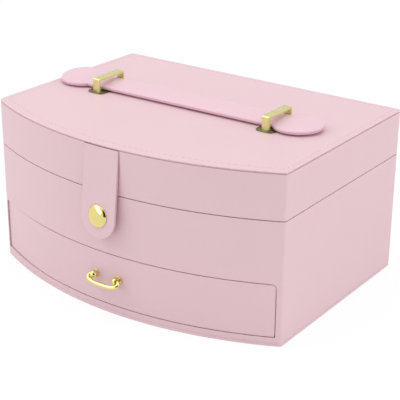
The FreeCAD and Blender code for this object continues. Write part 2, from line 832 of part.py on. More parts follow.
def make_loop_plates(name, side):
    """The visible base plate of a loop and the clamp plate inside the lid."""
    x = f"dims.handle_x + {side} * dims.loop_spacing / 2"
    plates = ((f"handle_plate_{name}", "0", "dims.plate", "dims.lid_top"),
              (f"loop_backplate_{name}", "dims.backplate_inset", "dims.backplate",
               f"{BOARD_BOTTOM} - dims.backplate"))
    for label, inset, thickness, bottom in plates:
        half_width = f"(dims.plate_width / 2 - {inset})"
        half_length = f"(dims.plate_length / 2 - {inset})"
        body = flat_board(
            label, lambda s: rectangle(s, f"-{half_width}", half_width, f"-{half_length}", half_length),
            bottom, thickness)
        round_edges(body, f"dims.plate_corner - {inset}", corner_edge(half_width))
        slots = sketch_on(body, label + "_slots")
        for end in (-1, 1):
            leg_slot(slots, "0", f"({end} * (dims.loop_length - dims.loop_bar) / 2)")
        pocket(body, slots, symmetric=True)
        place(body, x=x, y=loop_y(side))
        if label.startswith("handle"):
            def rim(edge):
                spot = edge.CenterOfMass
                outer = abs(spot.x) > value(half_width) - 2 or abs(spot.y) > value(half_length) - 2
                return abs(edge.BoundBox.ZMin - value("dims.plate")) < 0.01 and outer
            round_edges(body, "dims.plate_rim", rim)
        part(body)


def make_strap():
    """The handle strap: a straight band through the loops with a round lobe at each end."""
    body = new_body("handle_strap")
    half_width = "dims.strap_width / 2"
    for index, side in enumerate((-1, 1)):
        lobe = sketch_on(body, f"handle_strap_lobe_{index}")
        circle(lobe, f"{side} * dims.lobe_x", "0", "dims.lobe_radius")
        pad(body, lobe, "dims.strap_thickness")
        if index == 0:
            band = sketch_on(body, "handle_strap_band")
            rectangle(band, "-dims.lobe_x", "dims.lobe_x", f"-{half_width}", half_width)
            pad(body, band, "dims.strap_thickness")

    def lobe_corner(edge):
        return upright(edge) and abs(abs(edge.CenterOfMass.y) - value(half_width)) < 0.05
    round_edges(body, "dims.strap_corner", lobe_corner)
    round_edges(body, "dims.strap_rim", lambda edge: abs(edge.BoundBox.ZLength) < 0.01)
    turned = FreeCAD.Rotation(Vector(0, 0, 1), value("dims.strap_turn"))
    body.Placement = FreeCAD.Placement(Vector(), turned)
    body.setExpression("Placement.Rotation.Angle", "dims.strap_turn * 1 deg")
    place(body, x="dims.strap_x", y="dims.handle_y", z="dims.lid_top + dims.strap_lift")
    part(body)


def make_handle():
    for name, side in (("left", -1), ("right", 1)):
        make_loop(f"handle_loop_{name}", side)
        make_loop_plates(name, side)
    make_strap()


# Closure tab and snap

def on_tab(body, along, out):
    """Place a body on the hanging tab, so far down it and so far out of its middle plane."""
    tilt = "dims.tab_lean * 1 deg"
    lean(body, TAB_TURN)
    place(body, "dims.tab_x", f"{TAB_Y} - {along} * sin({tilt}) - {out} * cos({tilt})",
          f"dims.tab_axis_z - {along} * cos({tilt}) + {out} * sin({tilt})")


def make_tab():
    thickness = "dims.tab_thickness"
    body = new_body("closure_tab")
    half = "(dims.tab_width / 2)"
    plan = sketch_on(body, "closure_tab_plan")
    straight = f"({half} - dims.tab_length)"
    wide = value(half)
    low = value(straight)
    sides = [sketch_line(plan, wide, low, wide, 0), sketch_line(plan, wide, 0, -wide, 0),
             sketch_line(plan, -wide, 0, -wide, low)]
    end = sketch_arc(plan, 0, low, wide, math.pi, 2 * math.pi)
    plan.addConstraint([
        Sketcher.Constraint("Coincident", sides[0], 2, sides[1], 1),
        Sketcher.Constraint("Coincident", sides[1], 2, sides[2], 1),
        Sketcher.Constraint("Tangent", sides[2], 2, end, 1),
        Sketcher.Constraint("Tangent", end, 2, sides[0], 1),
        Sketcher.Constraint("Horizontal", sides[1]),
    ])
    place_vertex(plan, sides[1], 1, half, "0")
    place_vertex(plan, end, 3, "0", straight)
    bind(plan, "Radius", end, half)
    pad(body, plan, thickness, symmetric=True)
    hole = sketch_on(body, "closure_tab_hole")
    circle(hole, "0", "-dims.snap_drop", "dims.rivet_radius + dims.rivet_play")
    pocket(body, hole, symmetric=True)

    def root(edge):
        return is_straight(edge) and edge.Length > 20 and abs(edge.CenterOfMass.y) < 0.01
    round_edges(body, f"{thickness} / 2 - dims.play", root)

    def rim(edge):
        spot = edge.CenterOfMass
        return abs(abs(edge.BoundBox.ZMin) - value(thickness) / 2) < 0.01 and (
            edge.Length > 20 and abs(edge.BoundBox.ZLength) < 0.01 and spot.y < -5)
    round_edges(body, "dims.tab_rim", rim)
    on_tab(body, "0", "0")
    part(body)

    front = f"({TAB_Y} + {thickness} / 2 + dims.tab_slack / 2)"
    part(flat_board(
        "tab_tongue",
        lambda s: rectangle(s, f"dims.tab_x - {half}", f"dims.tab_x + {half}", front, "-dims.tongue_back"),
        f"{PANEL_BOTTOM} - dims.tongue", "dims.tongue"))


def make_cap():
    """The domed snap cap, with the post that the socket is riveted to."""
    body = new_body("snap_cap")
    face = value("dims.tab_thickness / 2")
    rim_radius = value("dims.cap_radius")
    dome = value("dims.cap_height")
    rim = value("dims.cap_rim")
    rise = dome - rim
    dome_radius = (rim_radius ** 2 + rise ** 2) / (2 * rise)
    centre_z = face + dome - dome_radius
    profile = sketch_on(body, "snap_cap_half", "XZ_Plane")
    post = value("dims.rivet_radius")
    post_end = -face - value("dims.rivet_length")
    angle = math.asin(rim_radius / dome_radius)
    corner = (rim_radius, face + rim)
    lines = [
        sketch_line(profile, 0, post_end, post, post_end), sketch_line(profile, post, post_end, post, face),
        sketch_line(profile, post, face, rim_radius, face), sketch_line(profile, rim_radius, face, *corner)]
    arc = sketch_arc(profile, 0, centre_z, dome_radius, math.pi / 2 - angle, math.pi / 2)
    axis = sketch_line(profile, 0, face + dome, 0, post_end)
    for first, second in zip(lines, lines[1:]):
        profile.addConstraint(Sketcher.Constraint("Coincident", first, 2, second, 1))
    profile.addConstraint([
        Sketcher.Constraint("Coincident", lines[-1], 2, arc, 1),
        Sketcher.Constraint("Coincident", arc, 2, axis, 1),
        Sketcher.Constraint("Coincident", axis, 2, lines[0], 1),
        Sketcher.Constraint("Vertical", lines[1]),
        Sketcher.Constraint("Horizontal", lines[2]),
        Sketcher.Constraint("Vertical", lines[3]),
        Sketcher.Constraint("PointOnObject", arc, 3, -2),
    ])
    place_vertex(profile, lines[0], 1, "0", "-dims.tab_thickness / 2 - dims.rivet_length")
    place_vertex(profile, lines[0], 2, "dims.rivet_radius", "-dims.tab_thickness / 2 - dims.rivet_length")
    bind(profile, "DistanceY", -1, 1, lines[2], 1, "dims.tab_thickness / 2")
    place_vertex(profile, lines[3], 2, "dims.cap_radius", "dims.tab_thickness / 2 + dims.cap_rim")
    bind(profile, "DistanceY", -1, 1, arc, 2, "dims.tab_thickness / 2 + dims.cap_height")
    revolve(body, profile, "V_Axis")

    def rim_edge(edge):
        return is_round(edge) and abs(edge.Curve.Radius - rim_radius) < 0.01
    round_edges(body, "dims.cap_edge", rim_edge)
    on_tab(body, "dims.snap_drop", "0")
    part(body)


def make_socket():
    """The ring socket behind the tab, which closes over the stud."""
    body = new_body("snap_socket")
    profile = sketch_on(body, "snap_socket_half", "XZ_Plane")
    back = "(0 - dims.tab_thickness / 2)"
    mouth = f"({back} - dims.socket_depth)"
    seat = f"({back} - dims.rivet_length)"
    bore = "(dims.rivet_radius + dims.play)"
    polygon(profile, [
        (bore, seat), ("dims.socket_mouth", seat), ("dims.socket_mouth", mouth), ("dims.socket_lip", mouth),
        ("dims.socket_radius", f"{back} - dims.socket_edge"), ("dims.socket_radius", back), (bore, back)])
    revolve(body, profile, "V_Axis")
    on_tab(body, "dims.snap_drop", "0")
    part(body)


def make_stud():
    """The stud on the case: a flange against the front and a bulb that the socket closes over."""
    body = new_body("snap_stud")
    profile = sketch_on(body, "snap_stud_half", "XZ_Plane")
    polygon(profile, [(str(radius), str(height)) for radius, height in STUD_PROFILE])
    revolve(body, profile, "V_Axis")
    lean(body, "90")
    tilt = "dims.tab_lean * 1 deg"
    place(body, "dims.tab_x", APEX,
          f"dims.tab_axis_z - dims.snap_drop * cos({tilt}) - dims.tab_thickness * sin({tilt})")
    part(body)


# Drawer

DRAWER_HALF = f"({INNER_HALF} - dims.drawer_gap)"
DRAWER_BOTTOM = "(dims.base_height + dims.drawer_gap)"
DRAWER_INNER = f"({DRAWER_HALF} - dims.drawer_wall)"
DRAWER_INNER_RADIUS = f"({RADIUS} - dims.drawer_front)"
DRAWER_INNER_BACK = "(dims.drawer_back_y - dims.drawer_wall)"


def post_x(side):
    return f"(dims.pull_x + {side} * dims.pull_half)"


def make_drawer():
    front = flat_board(
        "drawer_front", lambda s: bow_strip(s, f"-{DRAWER_HALF}", DRAWER_HALF, RADIUS, "dims.drawer_front"),
        DRAWER_BOTTOM, f"dims.drawer_top - dims.drawer_gap - {DRAWER_BOTTOM}")

    def top_corner(edge):
        spot = edge.CenterOfMass
        height = value(f"dims.drawer_top - dims.drawer_gap - {DRAWER_BOTTOM}")
        short = edge.Length < 2 * value("dims.drawer_front") and abs(edge.BoundBox.ZLength) < 0.01
        return short and abs(spot.z - height) < 0.01 and abs(abs(spot.x) - value(DRAWER_HALF)) < 0.1
    round_edges(front, "dims.window_corner - dims.drawer_gap", top_corner)
    holes = sketch_on(front, "drawer_front_holes", "XZ_Plane")
    for side in (-1, 1):
        circle(holes, post_x(side), f"dims.pull_z - {DRAWER_BOTTOM}", "dims.pull_screw + dims.clearance")
    pocket(front, holes, symmetric=True)
    part(front)

    side_height = f"dims.drawer_side_top - {DRAWER_BOTTOM}"
    for name, low, high in (("left", f"-{DRAWER_HALF}", f"-{DRAWER_INNER}"),
                            ("right", DRAWER_INNER, DRAWER_HALF)):
        part(flat_board(
            f"drawer_side_{name}",
            lambda s: bow_outline(s, low, high, "dims.drawer_back_y", DRAWER_INNER_RADIUS),
            DRAWER_BOTTOM, side_height))
    part(flat_board(
        "drawer_back",
        lambda s: rectangle(s, f"-{DRAWER_INNER}", DRAWER_INNER, DRAWER_INNER_BACK, "dims.drawer_back_y"),
        DRAWER_BOTTOM, side_height))
    part(flat_board(
        "drawer_bottom",
        lambda s: bow_outline(s, f"-{DRAWER_INNER}", DRAWER_INNER, DRAWER_INNER_BACK, DRAWER_INNER_RADIUS),
        DRAWER_BOTTOM, "dims.drawer_floor"))
    make_drawer_inside()


def make_drawer_inside():
    """The drawer's velvet lining and its dividers."""
    floor = f"({DRAWER_BOTTOM} + dims.drawer_floor)"
    rim = "(dims.drawer_side_top - dims.drawer_lining_drop)"
    body = flat_board(
        "drawer_lining",
        lambda s: bow_outline(s, f"-{DRAWER_INNER}", DRAWER_INNER, DRAWER_INNER_BACK, DRAWER_INNER_RADIUS),
        floor, f"{rim} - {floor}")
    inner = f"({DRAWER_INNER} - dims.lining)"
    inner_back = f"({DRAWER_INNER_BACK} - dims.lining)"
    inner_radius = f"({DRAWER_INNER_RADIUS} - dims.lining)"
    hollow = sketch_on(body, "drawer_lining_hollow")
    bow_outline(hollow, f"-{inner}", inner, inner_back, inner_radius)
    offset_sketch(hollow, "dims.lining")
    pocket(body, hollow, f"{rim} - {floor}", reversed_=True)
    room = sketch_on(body, "drawer_lining_screw_room", "XZ_Plane")
    for side in (-1, 1):
        circle(room, post_x(side), f"dims.pull_z - {floor}", "dims.pull_screw_head + 5 * dims.clearance")
    pocket(body, room, reversed_=True)
    part(body)

    divider_floor = f"({floor} + dims.lining)"
    height = f"{rim} - {divider_floor} - dims.drawer_divider_drop"
    row = "dims.drawer_row_y"
    part(flat_board(
        "drawer_long_divider",
        lambda s: rectangle(s, f"-{inner}", inner, row, f"{row} + dims.divider"), divider_floor, height))

    def cross(sketch):
        for low in ("dims.drawer_cross", "-dims.drawer_cross - dims.divider"):
            rectangle(sketch, low, f"{low} + dims.divider", f"{row} + dims.divider", inner_back)
        bow_outline(sketch, "-dims.divider / 2", "dims.divider / 2", row, inner_radius)
    part(flat_board("drawer_cross_dividers", cross, divider_floor, height))


# Drawer pull

PULL_Y = f"({APEX} - dims.pull_standoff)"


def make_post(name, side):
    """A pull post: round foot, short neck and a ball with a flat, drilled for the bail."""
    nearest = f"({side} * {post_x(side)} - dims.pull_foot)"
    foot_depth = f"(dims.pull_standoff + {RADIUS} - sqrt({RADIUS}^2 - {nearest}^2))"
    body = new_body(name)
    profile = sketch_on(body, name + "_half", "XZ_Plane")
    foot = value(foot_depth)
    ball = value("dims.pull_ball")
    width = value("dims.pull_foot")
    rise = value("dims.pull_foot_height") - foot
    neck = value("dims.pull_neck")
    neck_top = -math.sqrt(ball ** 2 - neck ** 2)
    start = -math.acos(neck / ball)
    lines = [
        sketch_line(profile, 0, -foot, width, -foot), sketch_line(profile, width, -foot, width, rise),
        sketch_line(profile, width, rise, neck, rise), sketch_line(profile, neck, rise, neck, neck_top)]
    arc = sketch_arc(profile, 0, 0, ball, start, math.pi / 2)
    axis = sketch_line(profile, 0, ball, 0, -foot)
    for first, second in zip(lines, lines[1:]):
        profile.addConstraint(Sketcher.Constraint("Coincident", first, 2, second, 1))
    profile.addConstraint([
        Sketcher.Constraint("Coincident", lines[-1], 2, arc, 1),
        Sketcher.Constraint("Coincident", arc, 2, axis, 1),
        Sketcher.Constraint("Coincident", axis, 2, lines[0], 1),
        Sketcher.Constraint("Vertical", lines[1]),
        Sketcher.Constraint("Horizontal", lines[2]),
        Sketcher.Constraint("Vertical", lines[3]),
        Sketcher.Constraint("Coincident", arc, 3, -1, 1),
        Sketcher.Constraint("PointOnObject", arc, 2, -2),
    ])
    place_vertex(profile, lines[0], 1, "0", f"-{foot_depth}")
    place_vertex(profile, lines[0], 2, "dims.pull_foot", f"-{foot_depth}")
    place_vertex(profile, lines[2], 2, "dims.pull_neck", f"dims.pull_foot_height - {foot_depth}")
    bind(profile, "Radius", arc, "dims.pull_ball")
    revolve(body, profile, "V_Axis")
    flat = sketch_on(body, name + "_flat")
    wide = "(dims.pull_ball + dims.past)"
    low, high = ("dims.pull_flat", wide) if side > 0 else (f"-{wide}", "-dims.pull_flat")
    rectangle(flat, low, high, f"-{wide}", wide)
    offset_sketch(flat, f"dims.pull_foot_height + dims.play - {foot_depth}")
    pocket(body, flat, reversed_=True)
    cross_bore = sketch_on(body, name + "_cross_bore", "YZ_Plane")
    circle(cross_bore, "0", "0", "dims.bail_pin + dims.play")
    pocket(body, cross_bore, symmetric=True)
    thread = sketch_on(body, name + "_thread")
    circle(thread, "0", "0", "dims.pull_screw + dims.play")
    offset_sketch(thread, f"-{foot_depth}")
    pocket(body, thread, "dims.pull_screw_reach + 2 * dims.clearance", reversed_=True)
    lean(body, "90")
    place(body, x=post_x(side), y=PULL_Y, z="dims.pull_z")
    part(body)


def make_pull_screws():
    """Pan-head screws from inside the drawer into the posts."""
    screws = []
    shank, head, rim = "dims.pull_screw", "dims.pull_screw_head", "dims.pull_screw_head_rim"
    end = "(0 - dims.pull_screw_head_height)"
    for name, side in (("left", -1), ("right", 1)):
        farthest = f"({side} * {post_x(side)} + {head})"
        inner_face = f"({BOW_CENTRE} - sqrt({DRAWER_INNER_RADIUS}^2 - {farthest}^2))"
        nearest = f"({side} * {post_x(side)} - dims.pull_foot)"
        foot_face = f"({BOW_CENTRE} - sqrt({RADIUS}^2 - {nearest}^2))"
        reach = f"({inner_face} - {foot_face} + dims.pull_screw_reach)"
        body = new_body(f"pull_screw_{name}")
        profile = sketch_on(body, f"pull_screw_{name}_half", "XZ_Plane")
        polygon(profile, [("0", end), (f"{head} - {rim}", end), (head, f"{end} + {rim}"), (head, "0"),
                          (shank, "0"), (shank, reach), ("0", reach)])
        revolve(body, profile, "V_Axis")
        lean(body, "90")
        place(body, x=post_x(side), y=inner_face, z="dims.pull_z")
        screws.append(body)
    group = doc.addObject("Part::Compound", "pull_screws")
    group.Links = screws
    group.Label = "pull_screws"
    part(group)


def make_bail():
    """The swinging bail: a bent round bar with a thin pin at each end."""
    body = new_body("pull_bail")
    end = value("dims.bail_end")
    elbow = value("dims.bail_elbow")
    bend = value("dims.bail_bend")
    drop = value("dims.bail_drop")
    arm = end + elbow
    reach = arm - bend
    bow = (bend ** 2 - reach ** 2 - (elbow - drop) ** 2) / (2 * (elbow - drop + bend))
    meet = math.atan2(bow - drop + elbow, reach)
    path = sketch_on(body, "pull_bail_path")
    bar = sketch_arc(path, 0, bow - drop, bow, -math.pi / 2, -meet)
    corner = sketch_arc(path, reach, -elbow, bend, -meet, 0)
    small = sketch_arc(path, end, -elbow, elbow, 0, math.pi / 2)
    path.addConstraint([
        Sketcher.Constraint("Tangent", bar, 2, corner, 1),
        Sketcher.Constraint("Tangent", corner, 2, small, 1),
        Sketcher.Constraint("PointOnObject", bar, 1, -2),
        Sketcher.Constraint("PointOnObject", bar, 3, -2),
        Sketcher.Constraint("Vertical", small, 3, small, 2),
        Sketcher.Constraint("Horizontal", small, 3, small, 1),
    ])
    bind(path, "DistanceY", -1, 1, bar, 1, "-dims.bail_drop")
    bind(path, "Radius", corner, "dims.bail_bend")
    bind(path, "Radius", small, "dims.bail_elbow")
    place_vertex(path, small, 2, "dims.bail_end", "0")
    section = sketch_on(body, "pull_bail_section", "YZ_Plane")
    circle(section, "-dims.bail_drop", "0", "dims.bail_radius")
    doc.recompute()
    pipe = body.newObject("PartDesign::AdditivePipe", "pull_bail_pipe")
    pipe.Profile = section
    pipe.Spine = (path, [])
    doc.recompute()
    pin = sketch_on(body, "pull_bail_pin")
    rectangle(pin, "dims.bail_end - dims.bail_pin_in", "dims.bail_end + dims.bail_pin_out",
              "0", "dims.bail_pin")
    turned = revolve(body, pin, "H_Axis")
    mirrored = body.newObject("PartDesign::Mirrored", "pull_bail_mirrored")
    mirrored.Originals = [pipe, turned]
    mirrored.MirrorPlane = (next(p for p in body.Origin.OriginFeatures if p.Role == "YZ_Plane"), [""])
    body.Tip = mirrored
    lean(body, "90 - dims.pull_raise")
    place(body, x="dims.pull_x", y=PULL_Y, z="dims.pull_z")
    part(body)


# Build and export

make_case()
make_tray()
make_lid()
make_lid_inside()
make_hinges()
make_handle()
make_tab()
make_cap()
make_socket()
make_stud()
make_drawer()
for post_name, post_side in (("pull_post_left", -1), ("pull_post_right", 1)):
    make_post(post_name, post_side)
make_pull_screws()
make_bail()
doc.recompute()

failed = [item.Name for item in doc.Objects if "Invalid" in item.State or "Error" in item.State]
if failed:
    raise RuntimeError(f"failed features: {failed}")
for item in BODY_PARTS:
    if item.Shape.isNull() or not item.Shape.isValid() or not item.Shape.Solids:
        raise RuntimeError(f"bad shape: {item.Label}")
os.makedirs("parts", exist_ok=True)
for item in BODY_PARTS:
    item.Shape.exportStep(f"parts/{item.Label}.step")
    print(f"{item.Label}: {len(item.Shape.Solids)} solids, {item.Shape.Volume:.0f} cubic mm")
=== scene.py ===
"""Looks of the travel jewelry box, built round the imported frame. Lengths below are in
millimetres and become metres when a mesh is made."""
import json
import math

import bmesh
import bpy
from mathutils import Matrix, Vector


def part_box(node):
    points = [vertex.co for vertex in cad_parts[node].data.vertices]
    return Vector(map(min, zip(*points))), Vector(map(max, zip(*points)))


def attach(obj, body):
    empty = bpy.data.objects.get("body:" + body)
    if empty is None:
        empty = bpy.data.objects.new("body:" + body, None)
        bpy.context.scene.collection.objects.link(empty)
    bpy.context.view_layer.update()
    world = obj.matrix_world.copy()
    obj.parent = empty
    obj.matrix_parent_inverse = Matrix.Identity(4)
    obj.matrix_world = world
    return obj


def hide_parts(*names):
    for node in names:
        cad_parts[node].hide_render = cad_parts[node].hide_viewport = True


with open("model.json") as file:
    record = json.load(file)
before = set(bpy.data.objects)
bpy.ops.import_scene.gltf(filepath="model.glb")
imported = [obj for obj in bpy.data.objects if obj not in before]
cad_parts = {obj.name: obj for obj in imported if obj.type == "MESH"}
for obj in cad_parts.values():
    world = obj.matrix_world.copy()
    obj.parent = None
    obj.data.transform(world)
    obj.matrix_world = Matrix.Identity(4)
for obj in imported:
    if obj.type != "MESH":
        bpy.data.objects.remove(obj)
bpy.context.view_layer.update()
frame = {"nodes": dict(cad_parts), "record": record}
MM = 0.001


def node_box(name):
    """Lowest and highest corner of a CAD node, in millimetres."""
    low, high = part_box(name)
    return low / MM, high / MM


# Driving sizes, most of them read from the frame
FRONT_LOW, FRONT_HIGH = node_box("front_frame")
HALF = FRONT_HIGH.x
BACK = node_box("back_wall")[1].y
APEX = FRONT_LOW.y
BOARD = HALF - node_box("base_board")[1].x
BOW = 31.6
RADIUS = (HALF ** 2 + BOW ** 2) / (2 * BOW)
CENTRE = APEX + RADIUS
CASE_TOP = FRONT_HIGH.z
BASE_TOP = node_box("base_board")[1].z
DRAWER_TOP = node_box("shelf_board")[0].z
LID_BOTTOM = node_box("lid_front_band")[0].z
LID_TOP = node_box("lid_top_panel")[1].z
PANEL_BOTTOM = node_box("lid_top_panel")[0].z
REAR_CORNER = 3.0
LEFT_CORNER = 7.0
RIGHT_CORNER = 2.2
WINDOW_CORNER = 2.5

# Closure tab: its hinge line in y and z, and how far it leans out from upright
TAB_HALF = (node_box("closure_tab")[1].x - node_box("closure_tab")[0].x) / 2
TAB_X = node_box("closure_tab")[1].x - TAB_HALF
TAB_LENGTH = 66.2
TAB_THICK = 2.0
TAB_RISE = 0.65
TAB_AXIS = (APEX + 0.9, 126.7)
TAB_LEAN = math.radians(6.5)
SNAP_DROP = 49.6

# Strap: a band with a round lobe at each end. STRAP_LEAN is where its front edge lies,
# measured from where a flat strap would have it.
STRAP_TURN = math.radians(1.0)
STRAP_THICK = 2.4
STRAP_HALF = 12.8
STRAP_SAG = 1.3
STRAP_LEAN = Vector((-2.08, 2.90, -1.5))
LOBE = 18.75
LOBE_X = 98.9
LOBE_START = 80.0
LOBE_CURL = 2.6
CURL_START, CURL_LENGTH = 82, 32

# Drawer pull: the bail's hinge line, its rest angle up from hanging, and its posts
PULL_X = (node_box("pull_bail")[0].x + node_box("pull_bail")[1].x) / 2
PULL_Y = APEX - 3.0
PULL_Z = 29.0
PULL_HALF = 10.2
PULL_RAISE = math.radians(50)
POST_FOOT = 3.2

# Seam of the lid's top, in from the edge
FRONT_STITCH = 7.2
SIDE_STITCH = 4.2
SEAM_ROUNDING = 1.6

# Fabric-covered boards
DIVIDER = 3.0
TRAY_FRONT_DIVIDERS = (48.0, -51.0)
TRAY_BACK_DIVIDER = 26.0
DRAWER_BACK_DIVIDERS = (42.0, -45.0)


# Colour and materials

def linear(colour):
    """A colour of the photograph's kind, 0 to 255, as linear light."""
    parts = [c / 255 for c in colour]
    return tuple(p / 12.92 if p <= 0.04045 else ((p + 0.055) / 1.055) ** 2.4 for p in parts) + (1.0,)


def new_material(name):
    """A new material, its tree, its shader and the object's own coordinates."""
    mat = bpy.data.materials.new(name)
    mat.use_nodes = True
    tree = mat.node_tree
    shader = tree.nodes["Principled BSDF"]
    place = tree.nodes.new("ShaderNodeTexCoord")
    return mat, tree, shader, place.outputs["Object"]


def noise(tree, where, scale, detail=2.0, roughness=0.5):
    node = tree.nodes.new("ShaderNodeTexNoise")
    node.inputs["Scale"].default_value = scale
    node.inputs["Detail"].default_value = detail
    node.inputs["Roughness"].default_value = roughness
    tree.links.new(where, node.inputs["Vector"])
    return node.outputs["Fac"]


def ramp(tree, value, low, high, first, second):
    """Two colours or levels, blended where value goes from low to high."""
    node = tree.nodes.new("ShaderNodeValToRGB")
    node.color_ramp.elements[0].position = low
    node.color_ramp.elements[1].position = high
    node.color_ramp.elements[0].color = first
    node.color_ramp.elements[1].color = second
    tree.links.new(value, node.inputs["Fac"])
    return node.outputs["Color"]


def grey(level):
    return (level, level, level, 1.0)


def bump(tree, height, distance, strength, before=None):
    node = tree.nodes.new("ShaderNodeBump")
    node.inputs["Distance"].default_value = distance
    node.inputs["Strength"].default_value = strength
    tree.links.new(height, node.inputs["Height"])
    if before is not None:
        tree.links.new(before, node.inputs["Normal"])
    return node.outputs["Normal"]


def tint(tree, value, low, high, colour, darker, lighter):
    """A colour that runs from a little darker to a little lighter with value."""
    first, second = (linear(tuple(c * factor for c in colour)) for factor in (darker, lighter))
    return ramp(tree, value, low, high, first, second)


def leather(name, colour, rough=0.42):
    """Smooth coated leather: a faint cloudiness, fine pebbled grain and a satin coat."""
    mat, tree, shader, where = new_material(name)
    grain = 0.00004
    cloud = noise(tree, where, scale=22.0, detail=4.0, roughness=0.6)
    tree.links.new(tint(tree, cloud, 0.3, 0.7, colour, 0.996, 1.004), shader.inputs["Base Color"])
    pebble = tree.nodes.new("ShaderNodeTexVoronoi")
    pebble.feature = "SMOOTH_F1"
    pebble.inputs["Scale"].default_value = 1500.0
    tree.links.new(where, pebble.inputs["Vector"])
    crease = noise(tree, where, scale=420.0, detail=5.0, roughness=0.65)
    slow = bump(tree, noise(tree, where, scale=60.0), 0.0001, 0.2)
    fine = bump(tree, crease, grain * 1.6, 0.6, slow)
    tree.links.new(bump(tree, pebble.outputs["Distance"], grain, 0.8, fine), shader.inputs["Normal"])
    tree.links.new(ramp(tree, crease, 0.2, 0.8, grey(rough - 0.04), grey(rough + 0.06)),
                   shader.inputs["Roughness"])
    shader.inputs["Specular IOR Level"].default_value = 0.42
    shader.inputs["Sheen Weight"].default_value = 0.04
    return mat


def velvet(name, colour):
    """Short pile: a soft sheen, brushed patches and a fine nap."""
    mat, tree, shader, where = new_material(name)
    brushed = noise(tree, where, scale=70.0, detail=4.0, roughness=0.6)
    tree.links.new(tint(tree, brushed, 0.35, 0.65, colour, 0.98, 1.02), shader.inputs["Base Color"])
    nap = noise(tree, where, scale=1900.0, detail=4.0, roughness=0.7)
    soft = bump(tree, brushed, 0.0003, 0.25)
    tree.links.new(bump(tree, nap, 0.0002, 0.8, soft), shader.inputs["Normal"])
    shader.inputs["Roughness"].default_value = 0.92
    shader.inputs["Specular IOR Level"].default_value = 0.2
    shader.inputs["Sheen Weight"].default_value = 0.55
    shader.inputs["Sheen Roughness"].default_value = 0.35
    shader.inputs["Sheen Tint"].default_value = linear(tuple(c * 1.05 for c in colour))
    return mat


def metal(name, colour, rough, metallic=1.0):
    """Plated metal with a barely uneven polish and hairline marks."""
    mat, tree, shader, where = new_material(name)
    uneven = noise(tree, where, scale=160.0, detail=3.0)
    tree.links.new(tint(tree, uneven, 0.3, 0.7, colour, 0.98, 1.01), shader.inputs["Base Color"])
    tree.links.new(ramp(tree, uneven, 0.3, 0.7, grey(rough), grey(rough + 0.03)),
                   shader.inputs["Roughness"])
    marks = noise(tree, where, scale=900.0)
    tree.links.new(bump(tree, marks, 0.000004, 0.3), shader.inputs["Normal"])
    shader.inputs["Metallic"].default_value = metallic
    return mat


def matte(name, colour, scale=700.0, rough=0.8, depth=0.00006):
    """Paper, card, thread or painted edges: matt, with a fibrous surface."""
    mat, tree, shader, where = new_material(name)
    fibre = noise(tree, where, scale, detail=5.0, roughness=0.65)
    tree.links.new(tint(tree, fibre, 0.3, 0.7, colour, 0.97, 1.02), shader.inputs["Base Color"])
    tree.links.new(bump(tree, fibre, depth, 0.6), shader.inputs["Normal"])
    shader.inputs["Roughness"].default_value = rough
    shader.inputs["Specular IOR Level"].default_value = 0.25
    return mat


def shaded_edge_paint(name, colour, rough=0.5):
    """The cut edge of leather: edge paint, coloured darker than the face as painted shade."""
    return matte(name, colour, scale=500.0, rough=rough, depth=0.00003)


def looking_glass(name):
    """Silvered glass with a trace of haze."""
    mat, tree, shader, where = new_material(name)
    haze = noise(tree, where, scale=30.0)
    tree.links.new(ramp(tree, haze, 0.4, 0.7, grey(0.90), grey(0.93)), shader.inputs["Base Color"])
    tree.links.new(ramp(tree, haze, 0.4, 0.7, grey(0.02), grey(0.035)), shader.inputs["Roughness"])
    shader.inputs["Metallic"].default_value = 1.0
    shader.inputs["Coat Weight"].default_value = 0.5
    shader.inputs["Coat Roughness"].default_value = 0.02
    return mat


MATERIALS = {
    "pink": leather("pink_leather", (230, 198, 205)),
    "strap": leather("strap_leather", (233, 198, 209), rough=0.4),
    # edge: the lid top's cut edge, a little darker than the pink as painted shade for the recess under
    # the rolled edge
    "edge": shaded_edge_paint("cut_edge_painted_shade", (226, 194, 202), rough=0.6),
    # tab_edge: the tab's edge, darker than its faces, partly edge paint and partly painted shade for
    # its shaded side face
    "tab_edge": shaded_edge_paint("tab_edge_paint_and_shade", (216, 180, 190)),
    # strap_edge: the strap's side faces, a little darker than its top, partly edge paint and partly
    # painted shade
    "strap_edge": shaded_edge_paint("strap_edge_paint_and_shade", (230, 192, 203)),
    "thread": matte("pink_thread", (224, 191, 200), scale=1500.0, rough=0.7, depth=0.00005),
    "velvet": velvet("pale_velvet", (226, 200, 200)),
    "felt": velvet("thin_felt", (214, 188, 190)),
    "board": matte("pink_paper", (220, 190, 196)),
    "card": matte("plain_card", (226, 204, 204), scale=500.0),
    "mirror": looking_glass("mirror_silver"),
    "gold": metal("pale_gold", (232, 216, 142), rough=0.09),
    # plate_gold: gold set far darker than the metal's own colour, as painted shade and painted
    # reflection of the strap's dark underside
    "plate_gold": metal("gold_with_painted_shade", (112, 106, 66), rough=0.16),
    "loop_gold": metal("satin_gold", (223, 218, 150), rough=0.24, metallic=0.6),
}
SLOT_LOOKS = {"pink_leather": "pink", "strap_leather": "strap", "board": "board", "velvet": "velvet",
              "felt": "felt", "card": "card", "mirror_glass": "mirror", "gold": "gold"}


# Mesh building

